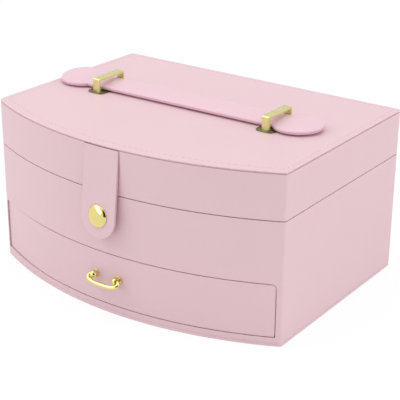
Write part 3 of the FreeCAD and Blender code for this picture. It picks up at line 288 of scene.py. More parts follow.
def piece(name, verts, faces, looks, body, replaces=(), angle=38.0, face_looks=None):
    """A mesh of points in millimetres that rides on a body. angle is the least angle in
    degrees at which an edge is sharp, and face_looks picks one of looks for each face."""
    mesh = bpy.data.meshes.new(name)
    mesh.from_pydata([Vector(v) * MM for v in verts], [], faces)
    looks = [looks] if isinstance(looks, str) else looks
    for look in looks:
        mesh.materials.append(MATERIALS[look])
    if face_looks is not None:
        mesh.polygons.foreach_set("material_index", face_looks)
    work = bmesh.new()
    work.from_mesh(mesh)
    bmesh.ops.remove_doubles(work, verts=work.verts, dist=1e-7)
    bmesh.ops.recalc_face_normals(work, faces=work.faces)
    work.to_mesh(mesh)
    work.free()
    mesh.shade_smooth()
    mesh.set_sharp_from_angle(angle=math.radians(angle))
    obj = bpy.data.objects.new(name, mesh)
    bpy.context.scene.collection.objects.link(obj)
    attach(obj, body)
    if replaces:
        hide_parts(*replaces)
    return obj


def loft(rings, ends="pairs"):
    """Points and faces of a skin over rings of equal count. The end rings close by pairing
    their two halves, by one face each, or stay open."""
    count = len(rings[0])
    verts = [v for ring in rings for v in ring]
    faces = []
    for r in range(len(rings) - 1):
        for k in range(count):
            a, b = r * count + k, r * count + (k + 1) % count
            faces.append((a, b, b + count, a + count))
    for start in (0, (len(rings) - 1) * count):
        if ends == "pairs":
            for k in range(count // 2 - 1):
                faces.append((start + k, start + k + 1, start + count - 2 - k, start + count - 1 - k))
        elif ends == "face":
            faces.append(tuple(range(start, start + count)))
    return verts, faces


def add_part(verts, faces, part):
    """Adds the points and faces of another form to a mesh."""
    start = len(verts)
    verts += part[0]
    faces += [tuple(start + i for i in face) for face in part[1]]


RIM_STEPS = 4


def round_rim(half_thickness, radius):
    """Inset and height of a rounded rim, from the back face's edge to the front face's."""
    quarter = []
    for s in range(RIM_STEPS + 1):
        turn = math.pi / 2 * s / RIM_STEPS
        quarter.append((radius * (1 - math.cos(turn)), half_thickness - radius * (1 - math.sin(turn))))
    return [(inset, -height) for inset, height in reversed(quarter)] + quarter


def strip_looks(faces, count, first, last):
    """For a loft of rings of count points: 1 for the faces of the strips from first up to, but
    not with, last, and 0 for the rest."""
    return [1 if count * first <= index < count * last else 0 for index in range(len(faces))]


def arc_points(cx, cy, radius, start, end, count):
    """Points on an arc from one angle to another."""
    step = (end - start) / (count - 1)
    return [(cx + radius * math.cos(start + step * i), cy + radius * math.sin(start + step * i))
            for i in range(count)]


def spread(low, high, count):
    """Evenly spaced values from low to high."""
    return [low + (high - low) * i / (count - 1) for i in range(count)]


def bow_y(x, depth=0.0):
    """The front's y at x, at a depth behind its outer face."""
    return CENTRE - math.sqrt((RADIUS - depth) ** 2 - x * x)


def half_plan(inset, corner, side):
    """The right half of the box in plan, from the middle of the front to the middle of the
    back. inset is that of the front, and side that of the side and the back."""
    start, least = 0.02, 0.25
    half, back, reach = HALF - side, BACK - side, RADIUS - inset
    r = max(corner - inset, least)
    fx, fy = half - r, CENTRE - math.sqrt((reach - r) ** 2 - (half - r) ** 2)
    lean = math.atan2(CENTRE - fy, fx)
    touch = reach * math.cos(lean)
    points = [(x, CENTRE - math.sqrt(reach ** 2 - x * x)) for x in spread(start, touch, 48)]
    points += arc_points(fx, fy, r, -lean, 0, 7)[1:]
    r = max(REAR_CORNER - side, least)
    points += [(half, y) for y in spread(fy, back - r, 10)[1:]]
    points += arc_points(half - r, back - r, r, 0, math.pi / 2, 7)[1:]
    points += [(x, back) for x in spread(half - r, start, 12)[1:]]
    return points


def plan(inset, side, extra):
    """The box in plan, its front corners rounder on the left. extra makes both rounder."""
    right = half_plan(inset, RIGHT_CORNER + extra, side)
    left = half_plan(inset, LEFT_CORNER + extra, side)
    return right + [(-x, y) for x, y in reversed(left)]


def rounded_rect(half_w, half_h, radius, inset=0.0, top_radius=None, count=12, corner_count=7):
    """A rectangle with round corners: its upper chain from left to right, then its lower one
    back. count is the number of points along its width."""
    start, least = 0.01, 0.12
    w, h = half_w - inset, half_h - inset
    chains = []
    for r0 in (radius if top_radius is None else top_radius, radius):
        r = max(r0 - inset, least)
        chain = [(-w, y) for y in spread(start, h - r, 4)][:-1]
        chain += arc_points(-w + r, h - r, r, math.pi, math.pi / 2, corner_count)
        chain += [(x, h) for x in spread(-w + r, w - r, count)][1:-1]
        chain += arc_points(w - r, h - r, r, math.pi / 2, 0, corner_count)
        chain += [(w, y) for y in spread(h - r, start, 4)][1:]
        chains.append(chain)
    return chains[0] + [(x, -y) for x, y in reversed(chains[1])]


def round_section(count):
    """The points of a circle of radius 1."""
    return [(math.cos(t), math.sin(t)) for t in (2 * math.pi * i / count for i in range(count))]


def turned(profile, origin, axis, count):
    """Rings of a profile of radius and height about an axis through origin."""
    origin, axis = Vector(origin), Vector(axis).normalized()
    first = axis.orthogonal().normalized()
    second = axis.cross(first)
    return [[origin + axis * height + (first * a + second * b) * radius
             for a, b in round_section(count)] for radius, height in profile]


def eased(share):
    """0 to 1, with a soft start and a soft end."""
    share = min(max(share, 0.0), 1.0)
    return share * share * (3 - 2 * share)


# Leather skins of the case and the lid

def side_columns(corner):
    """Outer and inner points of the right wall in plan, from the front corner to the middle
    of the back."""
    edge = HALF - BOARD
    inner_corner = bow_y(edge, BOARD)
    fx, fy = HALF - corner, CENTRE - math.sqrt((RADIUS - corner) ** 2 - (HALF - corner) ** 2)
    lean = math.atan2(CENTRE - fy, fx)
    bend = arc_points(fx, fy, corner, -lean, 0, 5)
    around = [(point, (edge, inner_corner + 0.5 + 0.55 * i)) for i, point in enumerate(bend)]
    around += [((HALF, y), (edge, y)) for y in spread(fy + 9, BACK - REAR_CORNER - 6, 6)]
    rear = arc_points(HALF - REAR_CORNER, BACK - REAR_CORNER, REAR_CORNER, 0, math.pi / 2, 5)
    back = BACK - BOARD
    inner_rear = [(edge, back - 1.2), (edge, back - 0.5), (edge - 0.1, back - 0.1),
                  (edge - 0.5, back), (edge - 1.2, back)]
    around += list(zip(rear, inner_rear))
    around += [((x, BACK), (x, back)) for x in spread(HALF - REAR_CORNER - 8, 0, 6)]
    return around


def wall_columns(front_xs):
    """Outer and inner points of the walls in plan, all the way round from the front left."""
    columns = [((x, bow_y(x)), (x, bow_y(x, BOARD))) for x in front_xs]
    columns += side_columns(RIGHT_CORNER)
    left = side_columns(LEFT_CORNER)[:-1]
    columns += [((-o[0], o[1]), (-i[0], i[1])) for o, i in reversed(left)]
    return columns


def wall_skin(name, columns, rows, soft, body, replaces, shift, hole=None, grooves=None):
    """A wall of outer and inner faces with rims that are soft deep. shift moves a point given
    by column, row, depth and place. hole is (first column, last column, first row, last row)
    of a window. grooves gives rows of the outer face that lie deeper."""
    grooves = grooves or {}
    count = len(columns)
    verts, index, faces = [], {}, []

    def point(c, r, depth):
        key = (c % count, r, depth)
        if key not in index:
            outer, inner = columns[c % count]
            share = (grooves.get(r, 0.0) if depth == 0.0 else depth) / BOARD
            x = outer[0] + (inner[0] - outer[0]) * share
            y = outer[1] + (inner[1] - outer[1]) * share
            index[key] = len(verts)
            verts.append(shift(c % count, r, depth, (x, y, rows[r])))
        return index[key]

    def quad(*corners):
        faces.append(tuple(point(*corner) for corner in corners))

    def in_hole(c, r):
        return hole is not None and hole[0] <= c < hole[1] and hole[2] <= r < hole[3]

    last = len(rows) - 1
    depths = [0.0, soft, BOARD - soft, BOARD]
    layers = list(zip(depths, depths[1:]))
    for c in range(count):
        for r in range(last):
            if not in_hole(c, r):
                quad((c, r, 0.0), (c + 1, r, 0.0), (c + 1, r + 1, 0.0), (c, r + 1, 0.0))
                quad((c, r, BOARD), (c, r + 1, BOARD), (c + 1, r + 1, BOARD), (c + 1, r, BOARD))
        for a, b in layers:
            quad((c, last, a), (c + 1, last, a), (c + 1, last, b), (c, last, b))
            quad((c, 0, b), (c + 1, 0, b), (c + 1, 0, a), (c, 0, a))
    if hole is not None:
        left, right, low, high = hole
        rim = [((c, low), (c + 1, low)) for c in range(left, right)]
        rim += [((right, r), (right, r + 1)) for r in range(low, high)]
        rim += [((c + 1, high), (c, high)) for c in range(left, right)]
        rim += [((left, r + 1), (left, r)) for r in range(low, high)]
        for one, two in rim:
            for a, b in layers:
                quad((*one, a), (*two, a), (*two, b), (*one, b))
    skin = piece(name, verts, faces, "pink", body, replaces, angle=180.0)
    smooth = skin.modifiers.new("smooth", "SUBSURF")
    smooth.levels = smooth.render_levels = 2


def make_case_skin():
    """The case's walls in one skin, with the drawer's window and the pressed line above the
    base board."""
    soft = 0.5
    line, line_half, line_depth = 1.9, 0.45, 0.75
    edge = HALF - BOARD
    tangent = edge - WINDOW_CORNER
    xs = [-edge, -tangent, -119.0] + spread(-112, 112, 17) + [119.0, tangent, edge]
    rows = [0.0, soft, line - line_half, line, line + line_half, 3.4, BASE_TOP - soft, BASE_TOP,
            BASE_TOP + 0.8, 12.0, 28.0, DRAWER_TOP - WINDOW_CORNER, DRAWER_TOP, DRAWER_TOP + 0.6,
            62.0, 80.0, CASE_TOP - 0.6, CASE_TOP]
    last = len(xs) - 1
    top = rows.index(DRAWER_TOP)
    slant = WINDOW_CORNER * (1 - math.sqrt(0.5))

    def shift(c, r, depth, spot):
        """Pulls in the window's upper corners, the row above them by half as much."""
        if c not in (0, last) or r not in (top, top + 1):
            return spot
        x, _, z = spot
        step = slant if r == top else slant * 0.5
        x -= math.copysign(step, x)
        return x, bow_y(x, depth), z - step
    wall_skin("case_leather", wall_columns(xs), rows, soft, "case",
              ("front_frame", "side_wall_left", "side_wall_right", "back_wall"), shift,
              hole=(0, last, rows.index(BASE_TOP), top), grooves={rows.index(line): line_depth})


def make_lid_skin():
    """The lid's walls in one skin, with a recess behind the closure tab that deepens upwards."""
    soft = 0.6
    edge = HALF - BOARD
    clear = 0.3
    low, high = TAB_X - TAB_HALF - clear, TAB_X + TAB_HALF + clear
    recess_start, recess_end = 107.0, 124.9
    recess_depth, recess_growth = 0.2, 2.0
    xs = [-edge, -118.0] + spread(-108, -36, 7) + [-25.0, low - 0.5, low, low + 0.25]
    xs += spread(low + 6, high - 6, 4) + [high - 0.25, high, high + 0.5, 25.0]
    xs += spread(36, 108, 7) + [118.0, edge]
    rows = [LID_BOTTOM, LID_BOTTOM + soft, 100.0, recess_start - 0.5, recess_start,
            recess_start + 0.6, 113.0, 119.0, recess_end, PANEL_BOTTOM - 0.8, PANEL_BOTTOM - 0.2]

    def shift(c, r, depth, spot):
        x, y, z = spot
        inside = low + 0.1 < x < high - 0.1 and y < 0
        if depth < 1.0 and inside and z > recess_start - 0.01:
            share = min((z - recess_start) / (recess_end - recess_start), 1.0)
            y += recess_depth * (1 - depth) + recess_growth * share
        return x, y, z
    wall_skin("lid_leather_band", wall_columns(xs), rows, soft, "lid",
              ("lid_front_band", "lid_side_left", "lid_side_right", "lid_back_band"), shift)


def make_lid_top():
    """The lid's top leather: a rolled edge over a set-back cut edge coloured a little darker as
    painted shade, and a sewn channel.
    """
    under = PANEL_BOTTOM - 0.1
    crown = LID_TOP
    cut = [(9.0, under), (1.9, under), (1.0, under + 0.02), (0.6, under + 0.1),
           (0.5, under + 0.85)]
    roll = [(0.35, under + 0.92), (0.1, under + 1.02), (0.0, crown - 0.6), (0.05, crown - 0.4),
            (0.22, crown - 0.2), (0.55, crown - 0.06), (1.1, crown)]
    channel = [(-1.1, 0.0), (-0.5, -0.06), (0.0, -0.16), (0.5, -0.06), (1.1, 0.0)]
    more = FRONT_STITCH - SIDE_STITCH
    profile = [(inset, 0.0, z) for inset, z in cut + roll]
    profile += [(SIDE_STITCH + step, more, crown + dip) for step, dip in channel]
    profile += [(14.0, more, crown)]
    rings = [[(x, y, z) for x, y in plan(side + front, side, SEAM_ROUNDING * front)]
             for side, front, z in profile]
    verts, faces = loft(rings)
    # The cut strips take the darker edge colour, painted shade for the recess under the rolled edge.
    piece("lid_top_leather", verts, faces, ["pink", "edge"], "lid",
          ("lid_top_panel",), face_looks=strip_looks(faces, len(rings[0]), 0, len(cut) - 1))


def along(points, pitch):
    """Places and directions at equal steps of about pitch along a closed line."""
    sides = list(zip(points, points[1:] + points[:1]))
    total = sum((b - a).length for a, b in sides)
    steps = max(int(round(total / pitch)), 1)
    gap = total / steps
    target, walked, found = 0.0, 0.0, []
    for a, b in sides:
        length = (b - a).length
        while length > 0 and target <= walked + length and len(found) < steps:
            found.append((a.lerp(b, (target - walked) / length), (b - a) / length))
            target += gap
        walked += length
    return found


def make_lid_stitches():
    """A row of thread stitches, each a slim bulging bead that dips in at both ends."""
    pitch, length, thick, lift = 4.6, 3.2, 0.5, -0.1
    around, stations = 8, 7
    extra = SEAM_ROUNDING * (FRONT_STITCH - SIDE_STITCH)
    seam = [Vector((x, y, LID_TOP)) for x, y in plan(FRONT_STITCH, SIDE_STITCH, extra)]
    verts, faces = [], []
    for spot, direction in along(seam, pitch):
        side = Vector((0, 0, 1)).cross(direction).normalized()
        rise = direction.cross(side).normalized()
        rings = []
        for t in spread(-1, 1, stations):
            swell = math.sqrt(max(1 - abs(t) ** 3.0, 0.0)) * 0.9 + 0.1
            centre = spot + direction * (t * length / 2) + rise * (lift - 0.3 * thick * t * t)
            wide = thick / 2 * swell
            rings.append([centre + side * (a * wide) + rise * (b * wide * 0.85)
                          for a, b in round_section(around)])
        add_part(verts, faces, loft(rings, ends="face"))
    piece("lid_stitching", verts, faces, "thread", "lid", angle=80.0)


# Drawer front

def make_drawer_front():
    """The drawer's bent front, whose left end is pushed a little into the window."""
    thick, corner = 5.0, 0.9
    push, push_start, push_length = 1.2, 58, 62
    widening, widening_start = 0.025, 110
    low, high = node_box("drawer_front")
    half_w, half_h = high.x, (high.z - low.z) / 2
    middle = (high.z + low.z) / 2
    profile = [(14.0, -thick / 2)] + round_rim(thick / 2, 0.6) + [(3.0, thick / 2), (14.0, thick / 2)]
    rings = []
    for inset, out in profile:
        ring = []
        for x, z in rounded_rect(half_w, half_h, corner, inset, WINDOW_CORNER - 0.6, count=60):
            depth = thick / 2 - out
            depth += push * eased((-x - push_start) / push_length) * (1 - depth / thick)
            x -= widening * max(-x - widening_start, 0)
            ring.append((x, bow_y(x, depth), middle + z))
        rings.append(ring)
    verts, faces = loft(rings)
    piece("drawer_front_leather", verts, faces, "pink", "drawer", ("drawer_front",))


# Closure tab and snap

def on_tab(across, down, out):
    """A point of the tab, given across it, down from its hinge line and out of its middle plane."""
    y = TAB_AXIS[0] - down * math.sin(TAB_LEAN) - out * math.cos(TAB_LEAN)
    z = TAB_AXIS[1] - down * math.cos(TAB_LEAN) + out * math.sin(TAB_LEAN)
    return TAB_X + across, y, z


def tab_outline(inset):
    """The tab face on, with a square root and a half round end, as points across and down. Its
    right half comes first, from the root down."""
    half = TAB_HALF - inset
    straight = TAB_LENGTH - TAB_HALF
    top = min(inset, 1.0) - TAB_RISE
    right = [(x, top) for x in spread(0.02, half, 6)]
    right += [(half, d) for d in spread(top, straight, 14)[1:]]
    right += [(half * math.cos(t), straight + half * math.sin(t))
              for t in spread(0, math.pi / 2 - 0.002, 22)[1:]]
    return right + [(-x, d) for x, d in reversed(right)]


def make_tab():
    """The closure tab: two flat faces and a rounded edge, whose edge colour is partly edge paint and
    partly painted shade.
    """
    thick = TAB_THICK / 2
    rim = round_rim(thick, 0.45)
    profile = [(8.0, -thick)] + rim + [(1.2, thick), (8.0, thick)]
    rings = [[on_tab(a, d, out) for a, d in tab_outline(inset)] for inset, out in profile]
    verts, faces = loft(rings)
    # The edge strips take tab_edge, partly edge paint and partly painted shade.
    piece("closure_tab_leather", verts, faces, ["pink", "tab_edge"], "closure_tab",
          ("closure_tab",), face_looks=strip_looks(faces, len(rings[0]), 1, len(rim) - 2))


def make_snap():
    """The snap's domed cap over a low rim, with its stem through the tab."""
    stem, rim, radius, dome = 1.7, 0.8, 8.2, 3.0
    rise = dome - rim
    sphere = (radius ** 2 + rise ** 2) / (2 * rise)
    face = TAB_THICK / 2
    top = face + rim
    profile = [(stem, -face - 0.8), (stem, face), (radius - 0.3, face), (radius - 0.05, face + 0.1),
               (radius, face + 0.35), (radius - 0.04, top - 0.2), (radius - 0.22, top - 0.02)]
    edge_angle = math.asin((radius - 0.45) / sphere)
    for turn in spread(edge_angle, 0, 15):
        profile.append((max(sphere * math.sin(turn), 0.02),
                        face + dome - sphere + sphere * math.cos(turn)))
    axis = Vector(on_tab(0, 0, 1)) - Vector(on_tab(0, 0, 0))
    verts, faces = loft(turned(profile, on_tab(0, SNAP_DROP, 0), axis, 72), ends="face")
    piece("snap_cap_dome", verts, faces, "gold", "closure_tab", ("snap_cap",), angle=50.0)


# Handle

def strap_outline(inset):
    """The strap's outline, upper chain from left to right, then the lower one back."""
    lobe, half_width = LOBE - inset, STRAP_HALF - inset
    join = math.asin(half_width / lobe)
    half = [(lobe * math.cos(t) + LOBE_X, lobe * math.sin(t))
            for t in spread(0.004, math.pi - join, 40)]
    meet = LOBE_X - lobe * math.cos(join)
    half += [(x, half_width) for x in spread(meet - 0.6, 0.02, 24)]
    upper = [(-x, y) for x, y in half] + [(x, y) for x, y in reversed(half)]
    return upper + [(x, -y) for x, y in reversed(upper)]


def strap_width(x):
    """Half the strap's width at x, smoothed where the band meets a lobe."""
    return STRAP_HALF + (LOBE - STRAP_HALF) * eased((abs(x) - LOBE_START) / (LOBE_X - LOBE_START))


def strap_sag(x, y):
    """How far the strap's top lies below its crown, most at its edges."""
    beyond = max(abs(x) - LOBE_X, 0.0)
    return STRAP_SAG * (y * y + beyond * beyond) / strap_width(x) ** 2


def make_strap():
    """The strap, whose front edge lies low and whose left lobe curls up a little at the back."""
    low, high = node_box("handle_strap")
    centre = (low + high) / 2
    half = STRAP_THICK / 2
    turn = Matrix.Rotation(STRAP_TURN, 2)
    insets = [11.0, 8.0, 4.5, 1.4]
    profile = [(inset, -half) for inset in insets] + round_rim(half, 0.65)
    profile += [(inset, half) for inset in reversed(insets)]

    def spot(x, y, out):
        flat = turn @ Vector((x, y))
        curl = LOBE_CURL * eased((-x - CURL_START) / CURL_LENGTH) * (0.5 + 0.5 * y / LOBE)
        lean = STRAP_LEAN * eased(0.5 - 0.5 * y / strap_width(x))
        up = high.z - half + out + curl - strap_sag(x, y)
        return flat.x + centre.x + lean.x, flat.y + centre.y + lean.y, up + lean.z
    rings = [[spot(x, y, out) for x, y in strap_outline(inset)] for inset, out in profile]
    verts, faces = loft(rings)
    first = len(insets) + 3
    # The rim strips take strap_edge, partly edge paint and partly painted shade on the side faces.
    piece("handle_strap_leather", verts, faces, ["strap", "strap_edge"], "handle_strap",
          ("handle_strap",),
          face_looks=strip_looks(faces, len(rings[0]), first, first + 3))


def bent_line(corners, radii):
    """A line through corners, rounded at each inner corner to its own radius."""
    points = [Vector(corners[0])]
    for before, corner, after, radius in zip(corners, corners[1:], corners[2:], radii):
        corner = Vector(corner)
        back = (Vector(before) - corner).normalized()
        on = (Vector(after) - corner).normalized()
        centre = corner + (back + on) * radius
        points += [centre - on * radius * math.cos(turn) - back * radius * math.sin(turn)
                   for turn in spread(0, math.pi / 2, 7)]
    points.append(Vector(corners[-1]))
    return points


def staple(low, high, bar, foot, inset):
    """The loop seen from the side: its outer line from foot to foot, then its inner line back."""
    front, back, top = low.y + inset, high.y - inset, high.z - inset
    under, over = low.z + inset, low.z + bar / 2 - inset
    wall = bar - 2 * inset
    toe_front, toe_back = low.y + bar + foot - inset, high.y - bar - foot + inset
    outer = bent_line([(toe_front, under), (front, under), (front, top), (back, top), (back, under),
                       (toe_back, under)], (0.3, 1.3, 1.3, 0.3))
    inner = bent_line([(toe_front, over), (front + wall, over), (front + wall, top - wall),
                       (back - wall, top - wall), (back - wall, over), (toe_back, over)],
                      (0.15, 0.35, 0.35, 0.15))
    return outer + list(reversed(inner))


def make_loop(name):
    """A flat bar bent to a staple, with bevelled edges and feet turned in."""
    bar, foot, bevel = 2.0, 6.0, 0.28
    low, high = node_box(f"handle_loop_{name}")
    half = (high.x - low.x) / 2
    x = (high.x + low.x) / 2
    stations = [(-half, bevel), (-half + 0.08, 0.1), (-half + bevel, 0.0)]
    stations += [(-across, inset) for across, inset in reversed(stations)]
    rings = [[(x + across, y, z) for y, z in staple(low, high, bar, foot, inset)]
             for across, inset in stations]
    verts, faces = loft(rings)
    piece(f"handle_loop_bar_{name}", verts, faces, "loop_gold", "lid",
          (f"handle_loop_{name}",), angle=30.0)
    make_plate(name, x, (high.y + low.y) / 2)


def make_plate(name, x, y):
    """The round-cornered plate that a loop stands on, centred at x and y."""
    low, high = node_box(f"handle_plate_{name}")
    half_w, half_l, thick = (high.x - low.x) / 2, (high.y - low.y) / 2, high.z - low.z
    profile = [(0.4, 0.0), (0.05, 0.02), (0.0, 0.1), (0.0, thick - 0.4), (0.08, thick - 0.2),
               (0.25, thick - 0.06), (0.5, thick), (1.6, thick)]
    rings = [[(x + u, y + v, low.z + h) for u, v in rounded_rect(half_w, half_l, 4.0, inset)]
             for inset, h in profile]
    verts, faces = loft(rings)
    # The plate's gold is darkened as painted shade and painted reflection of the strap's dark
    # underside above it.
    piece(f"handle_plate_bevelled_{name}", verts, faces, "plate_gold", "lid",
          (f"handle_plate_{name}",), angle=50.0)


# Drawer pull

def in_pull(x, out, down):
    """A point of the raised bail, given across, out of its plane and down from its hinge line."""
    y = PULL_Y - down * math.sin(PULL_RAISE) - out * math.cos(PULL_RAISE)
    z = PULL_Z - down * math.cos(PULL_RAISE) + out * math.sin(PULL_RAISE)
    return Vector((PULL_X + x, y, z))


def bail_line():
    """The right half of the bail's middle line, across and up from its hinge line: a bowed bar,
    an elbow and the end that points back into the post."""
    end, elbow, drop, fullness = 11.6, 2.0, 6.0, 2.5
    reach, sag = end + elbow, drop - elbow
    line = []
    for turn in spread(0.0, math.pi / 2, 36):
        line.append((reach * math.sin(turn) ** (2 / fullness),
                     -elbow - sag * max(math.cos(turn), 0.0) ** (2 / fullness)))
    line += [(end + elbow * math.cos(t), elbow * math.sin(t) - elbow)
             for t in spread(0, math.pi / 2, 9)[1:]]
    return line + [(end - 2.5, 0.0)]


def make_bail():
    """A bowed bar between two elbows, with a thin pin at each end in its ball post."""
    bar, pin = 1.6, 0.85
    right = bail_line()
    path = [in_pull(x, 0, -z) for x, z in [(-x, z) for x, z in reversed(right[1:])] + right]
    across = (in_pull(0, 1, 0) - in_pull(0, 0, 0)).normalized()
    rings = []
    last = len(path) - 1
    for i, point in enumerate(path):
        side = across.cross((path[min(i + 1, last)] - path[max(i - 1, 0)]).normalized())
        thin, full = ([point + side * (a * radius) + across * (b * radius)
                       for a, b in round_section(20)] for radius in (pin, bar))
        if i in (0, last):
            rings.append(thin)
        elif i == 1:
            rings += [thin, full]
        elif i == last - 1:
            rings += [full, thin]
        else:
            rings.append(full)
    verts, faces = loft(rings, ends="face")
    piece("pull_bail_bar", verts, faces, "gold", "pull_bail", ("pull_bail",), angle=50.0)


def make_post(name, side):
    """A round foot, a neck and a ball, cut flat where the bail's elbow passes it."""
    ball, neck, flat = 3.0, 2.92, 1.2
    x = PULL_X + side * PULL_HALF
    foot = PULL_Y - bow_y(abs(x) - POST_FOOT)
    base = [(0.02, foot), (POST_FOOT - 0.1, foot), (POST_FOOT, foot + 0.12), (POST_FOOT, foot + 0.4),
            (POST_FOOT - 0.12, foot + 0.55), (neck + 0.1, foot + 0.6)]
    profile = base + [(neck, foot + 0.8), (neck, -1.4)]
    profile += [(ball * math.cos(t), ball * math.sin(t))
                for t in spread(-math.acos(neck / ball), math.pi / 2 - 0.01, 18)[1:]]
    rings = turned(profile, (x, PULL_Y, PULL_Z), (0, -1, 0), 40)
    for ring in rings[len(base):]:
        for spot in ring:
            if (spot.x - x) * side > flat:
                spot.x = x + side * flat
    verts, faces = loft(rings, ends="face")
    piece(f"pull_post_ball_{name}", verts, faces, "gold", "drawer", (f"pull_post_{name}",),
          angle=45.0)


# Tray, rolls and lining

def soft_board(low, high):
    """The points and faces of a fabric-covered board with a rounded top, given by its corners."""
    middle = (low + high) / 2
    size = (high - low) / 2
    along_x = size.x > size.y
    length, thick = (size.x, size.y) if along_x else (size.y, size.x)
    inner = thick * 0.8
    rings = []
    for inset, up in [(inner, -size.z)] + round_rim(size.z, 1.2) + [(inner, size.z)]:
        outline = rounded_rect(length, thick, 0.5, min(inset, inner), count=24, corner_count=4)
        rings.append([(middle.x + (u if along_x else v), middle.y + (v if along_x else u),
                       middle.z + up) for u, v in outline])
    return loft(rings)


def make_boards(node, body, boards):
    """One piece of several boards in place of a CAD node."""
    verts, faces = [], []
    for low, high in boards:
        add_part(verts, faces, soft_board(Vector(low), Vector(high)))
    piece(node + "_velvet", verts, faces, "velvet", body, (node,))


def make_long_divider(node, body):
    """The divider that runs from side to side, a little short of the walls."""
    low, high = node_box(node)
    trim = Vector((0.2, 0, 0))
    make_boards(node, body, [(low + trim, high - trim)])


def make_tray_dividers():
    """Two cross dividers in the tray's front row, up to the bow, and one in its back row."""
    gap = 0.1
    low, high = node_box("tray_cross_dividers")
    row_low, row_high = node_box("tray_long_divider")
    boards = []
    for x in TRAY_FRONT_DIVIDERS:
        front = bow_y(abs(x) + (DIVIDER if x > 0 else 0), BOARD + 1.0) + 0.3
        boards.append(((x, front, low.z), (x + DIVIDER, row_low.y - gap, high.z)))
    boards.append(((TRAY_BACK_DIVIDER, row_high.y + gap, low.z),
                   (TRAY_BACK_DIVIDER + DIVIDER, BACK - BOARD - 1.2, high.z)))
    make_boards("tray_cross_dividers", "case", boards)


def make_drawer_dividers():
    """Two cross dividers in the drawer's back row, and one in its front row."""
    gap = 0.1
    low, high = node_box("drawer_cross_dividers")
    row_low, row_high = node_box("drawer_long_divider")
    boards = [((x, row_high.y + gap, low.z), (x + DIVIDER, high.y, high.z))
              for x in DRAWER_BACK_DIVIDERS]
    boards.append(((-DIVIDER / 2, low.y + 0.3, low.z), (DIVIDER / 2, row_low.y - gap, high.z)))
    make_boards("drawer_cross_dividers", "drawer", boards)


def make_ring_rolls():
    """Stuffed rolls: round sections that press flat against each other and pull in at the ends."""
    count, stations, around = 5, 40, 28
    low, high = node_box("ring_rolls")
    pitch = (high.y - low.y) / count
    radius = pitch / 2
    flat = radius * 0.985
    for n in range(count):
        y0 = low.y + pitch * (n + 0.5)
        z0 = low.z + radius * 0.97
        rings = []
        for turn in spread(0, math.pi, stations + 1):
            x = low.x + (high.x - low.x) * (0.5 - 0.5 * math.cos(turn))
            end = min(min(x - low.x, high.x - x) / (radius * 0.8), 1.0)
            swell = math.sqrt(max(1 - (1 - end) ** 2, 0.0))
            ripple = 1 + 0.012 * math.sin(x * 0.31 + n * 1.7) + 0.008 * math.sin(x * 0.83 + n)
            r = max(radius * swell * min(ripple, 1.0), 0.05)
            ring = []
            for across, up in round_section(around):
                across = math.copysign(abs(across) ** 0.82, across)
                ring.append((x, y0 + min(max(r * across, -flat), flat),
                             z0 + r * up * (0.96 if up < 0 else 0.99)))
            rings.append(ring)
        verts, faces = loft(rings, ends="face")
        roll = piece(f"ring_roll_stuffed_{n + 1}", verts, faces, "velvet", "case",
                     ("ring_rolls",) if n == 0 else (), angle=80.0)


def make_mirror_bead():
    """A rolled leather bead round the mirror's window."""
    half_w, half_d, corner, middle_y = 92.0, 52.0, 3.0, 2.0
    across, high = 0.9, 0.75
    outline = rounded_rect(half_w, half_d, corner, count=30)
    z = node_box("mirror_frame")[0].z + 0.1
    up = Vector((0, 0, 1))
    rings = []
    for before, (u, v), after in zip(outline[-1:] + outline, outline, outline[1:] + outline[:1]):
        side = up.cross(Vector((after[0] - before[0], after[1] - before[1], 0)).normalized())
        centre = Vector((u, v + middle_y, z))
        rings.append([centre + side * (across * a) + up * (high * b) for a, b in round_section(12)])
    rings.append(rings[0])
    verts, faces = loft(rings, ends="open")
    piece("mirror_bead", verts, faces, "pink", "lid", angle=80.0)


# Room, light and camera

WHITE = (1, 1, 1, 1)


def seen_directly(tree):
    """1 for rays that show the background itself: camera, glossy and transmission rays."""
    path = tree.nodes.new("ShaderNodeLightPath")
    total = path.outputs["Is Camera Ray"]
    for kind in ("Is Glossy Ray", "Is Transmission Ray"):
        add = tree.nodes.new("ShaderNodeMath")
        add.operation = "MAXIMUM"
        tree.links.new(total, add.inputs[0])
        tree.links.new(path.outputs[kind], add.inputs[1])
        total = add.outputs[0]
    return total


def glow_node(tree, level):
    """An even white glow."""
    glow = tree.nodes.new("ShaderNodeEmission")
    glow.inputs["Color"].default_value = WHITE
    glow.inputs["Strength"].default_value = level
    return glow.outputs[0]


def bare_material(name):
    """A material without a shader, its tree and its surface socket."""
    mat = bpy.data.materials.new(name)
    mat.use_nodes = True
    tree = mat.node_tree
    tree.nodes.remove(tree.nodes["Principled BSDF"])
    return mat, tree, tree.nodes["Material Output"].inputs["Surface"]


def rectangle(name, width, height, mat):
    """A flat sheet about the origin that isn't part of the box."""
    w, h = width / 2, height / 2
    mesh = bpy.data.meshes.new(name)
    mesh.from_pydata([(-w, -h, 0), (w, -h, 0), (w, h, 0), (-w, h, 0)], [], [(0, 1, 2, 3)])
    mesh.materials.append(mat)
    obj = bpy.data.objects.new(name, mesh)
    bpy.context.scene.collection.objects.link(obj)
    return obj


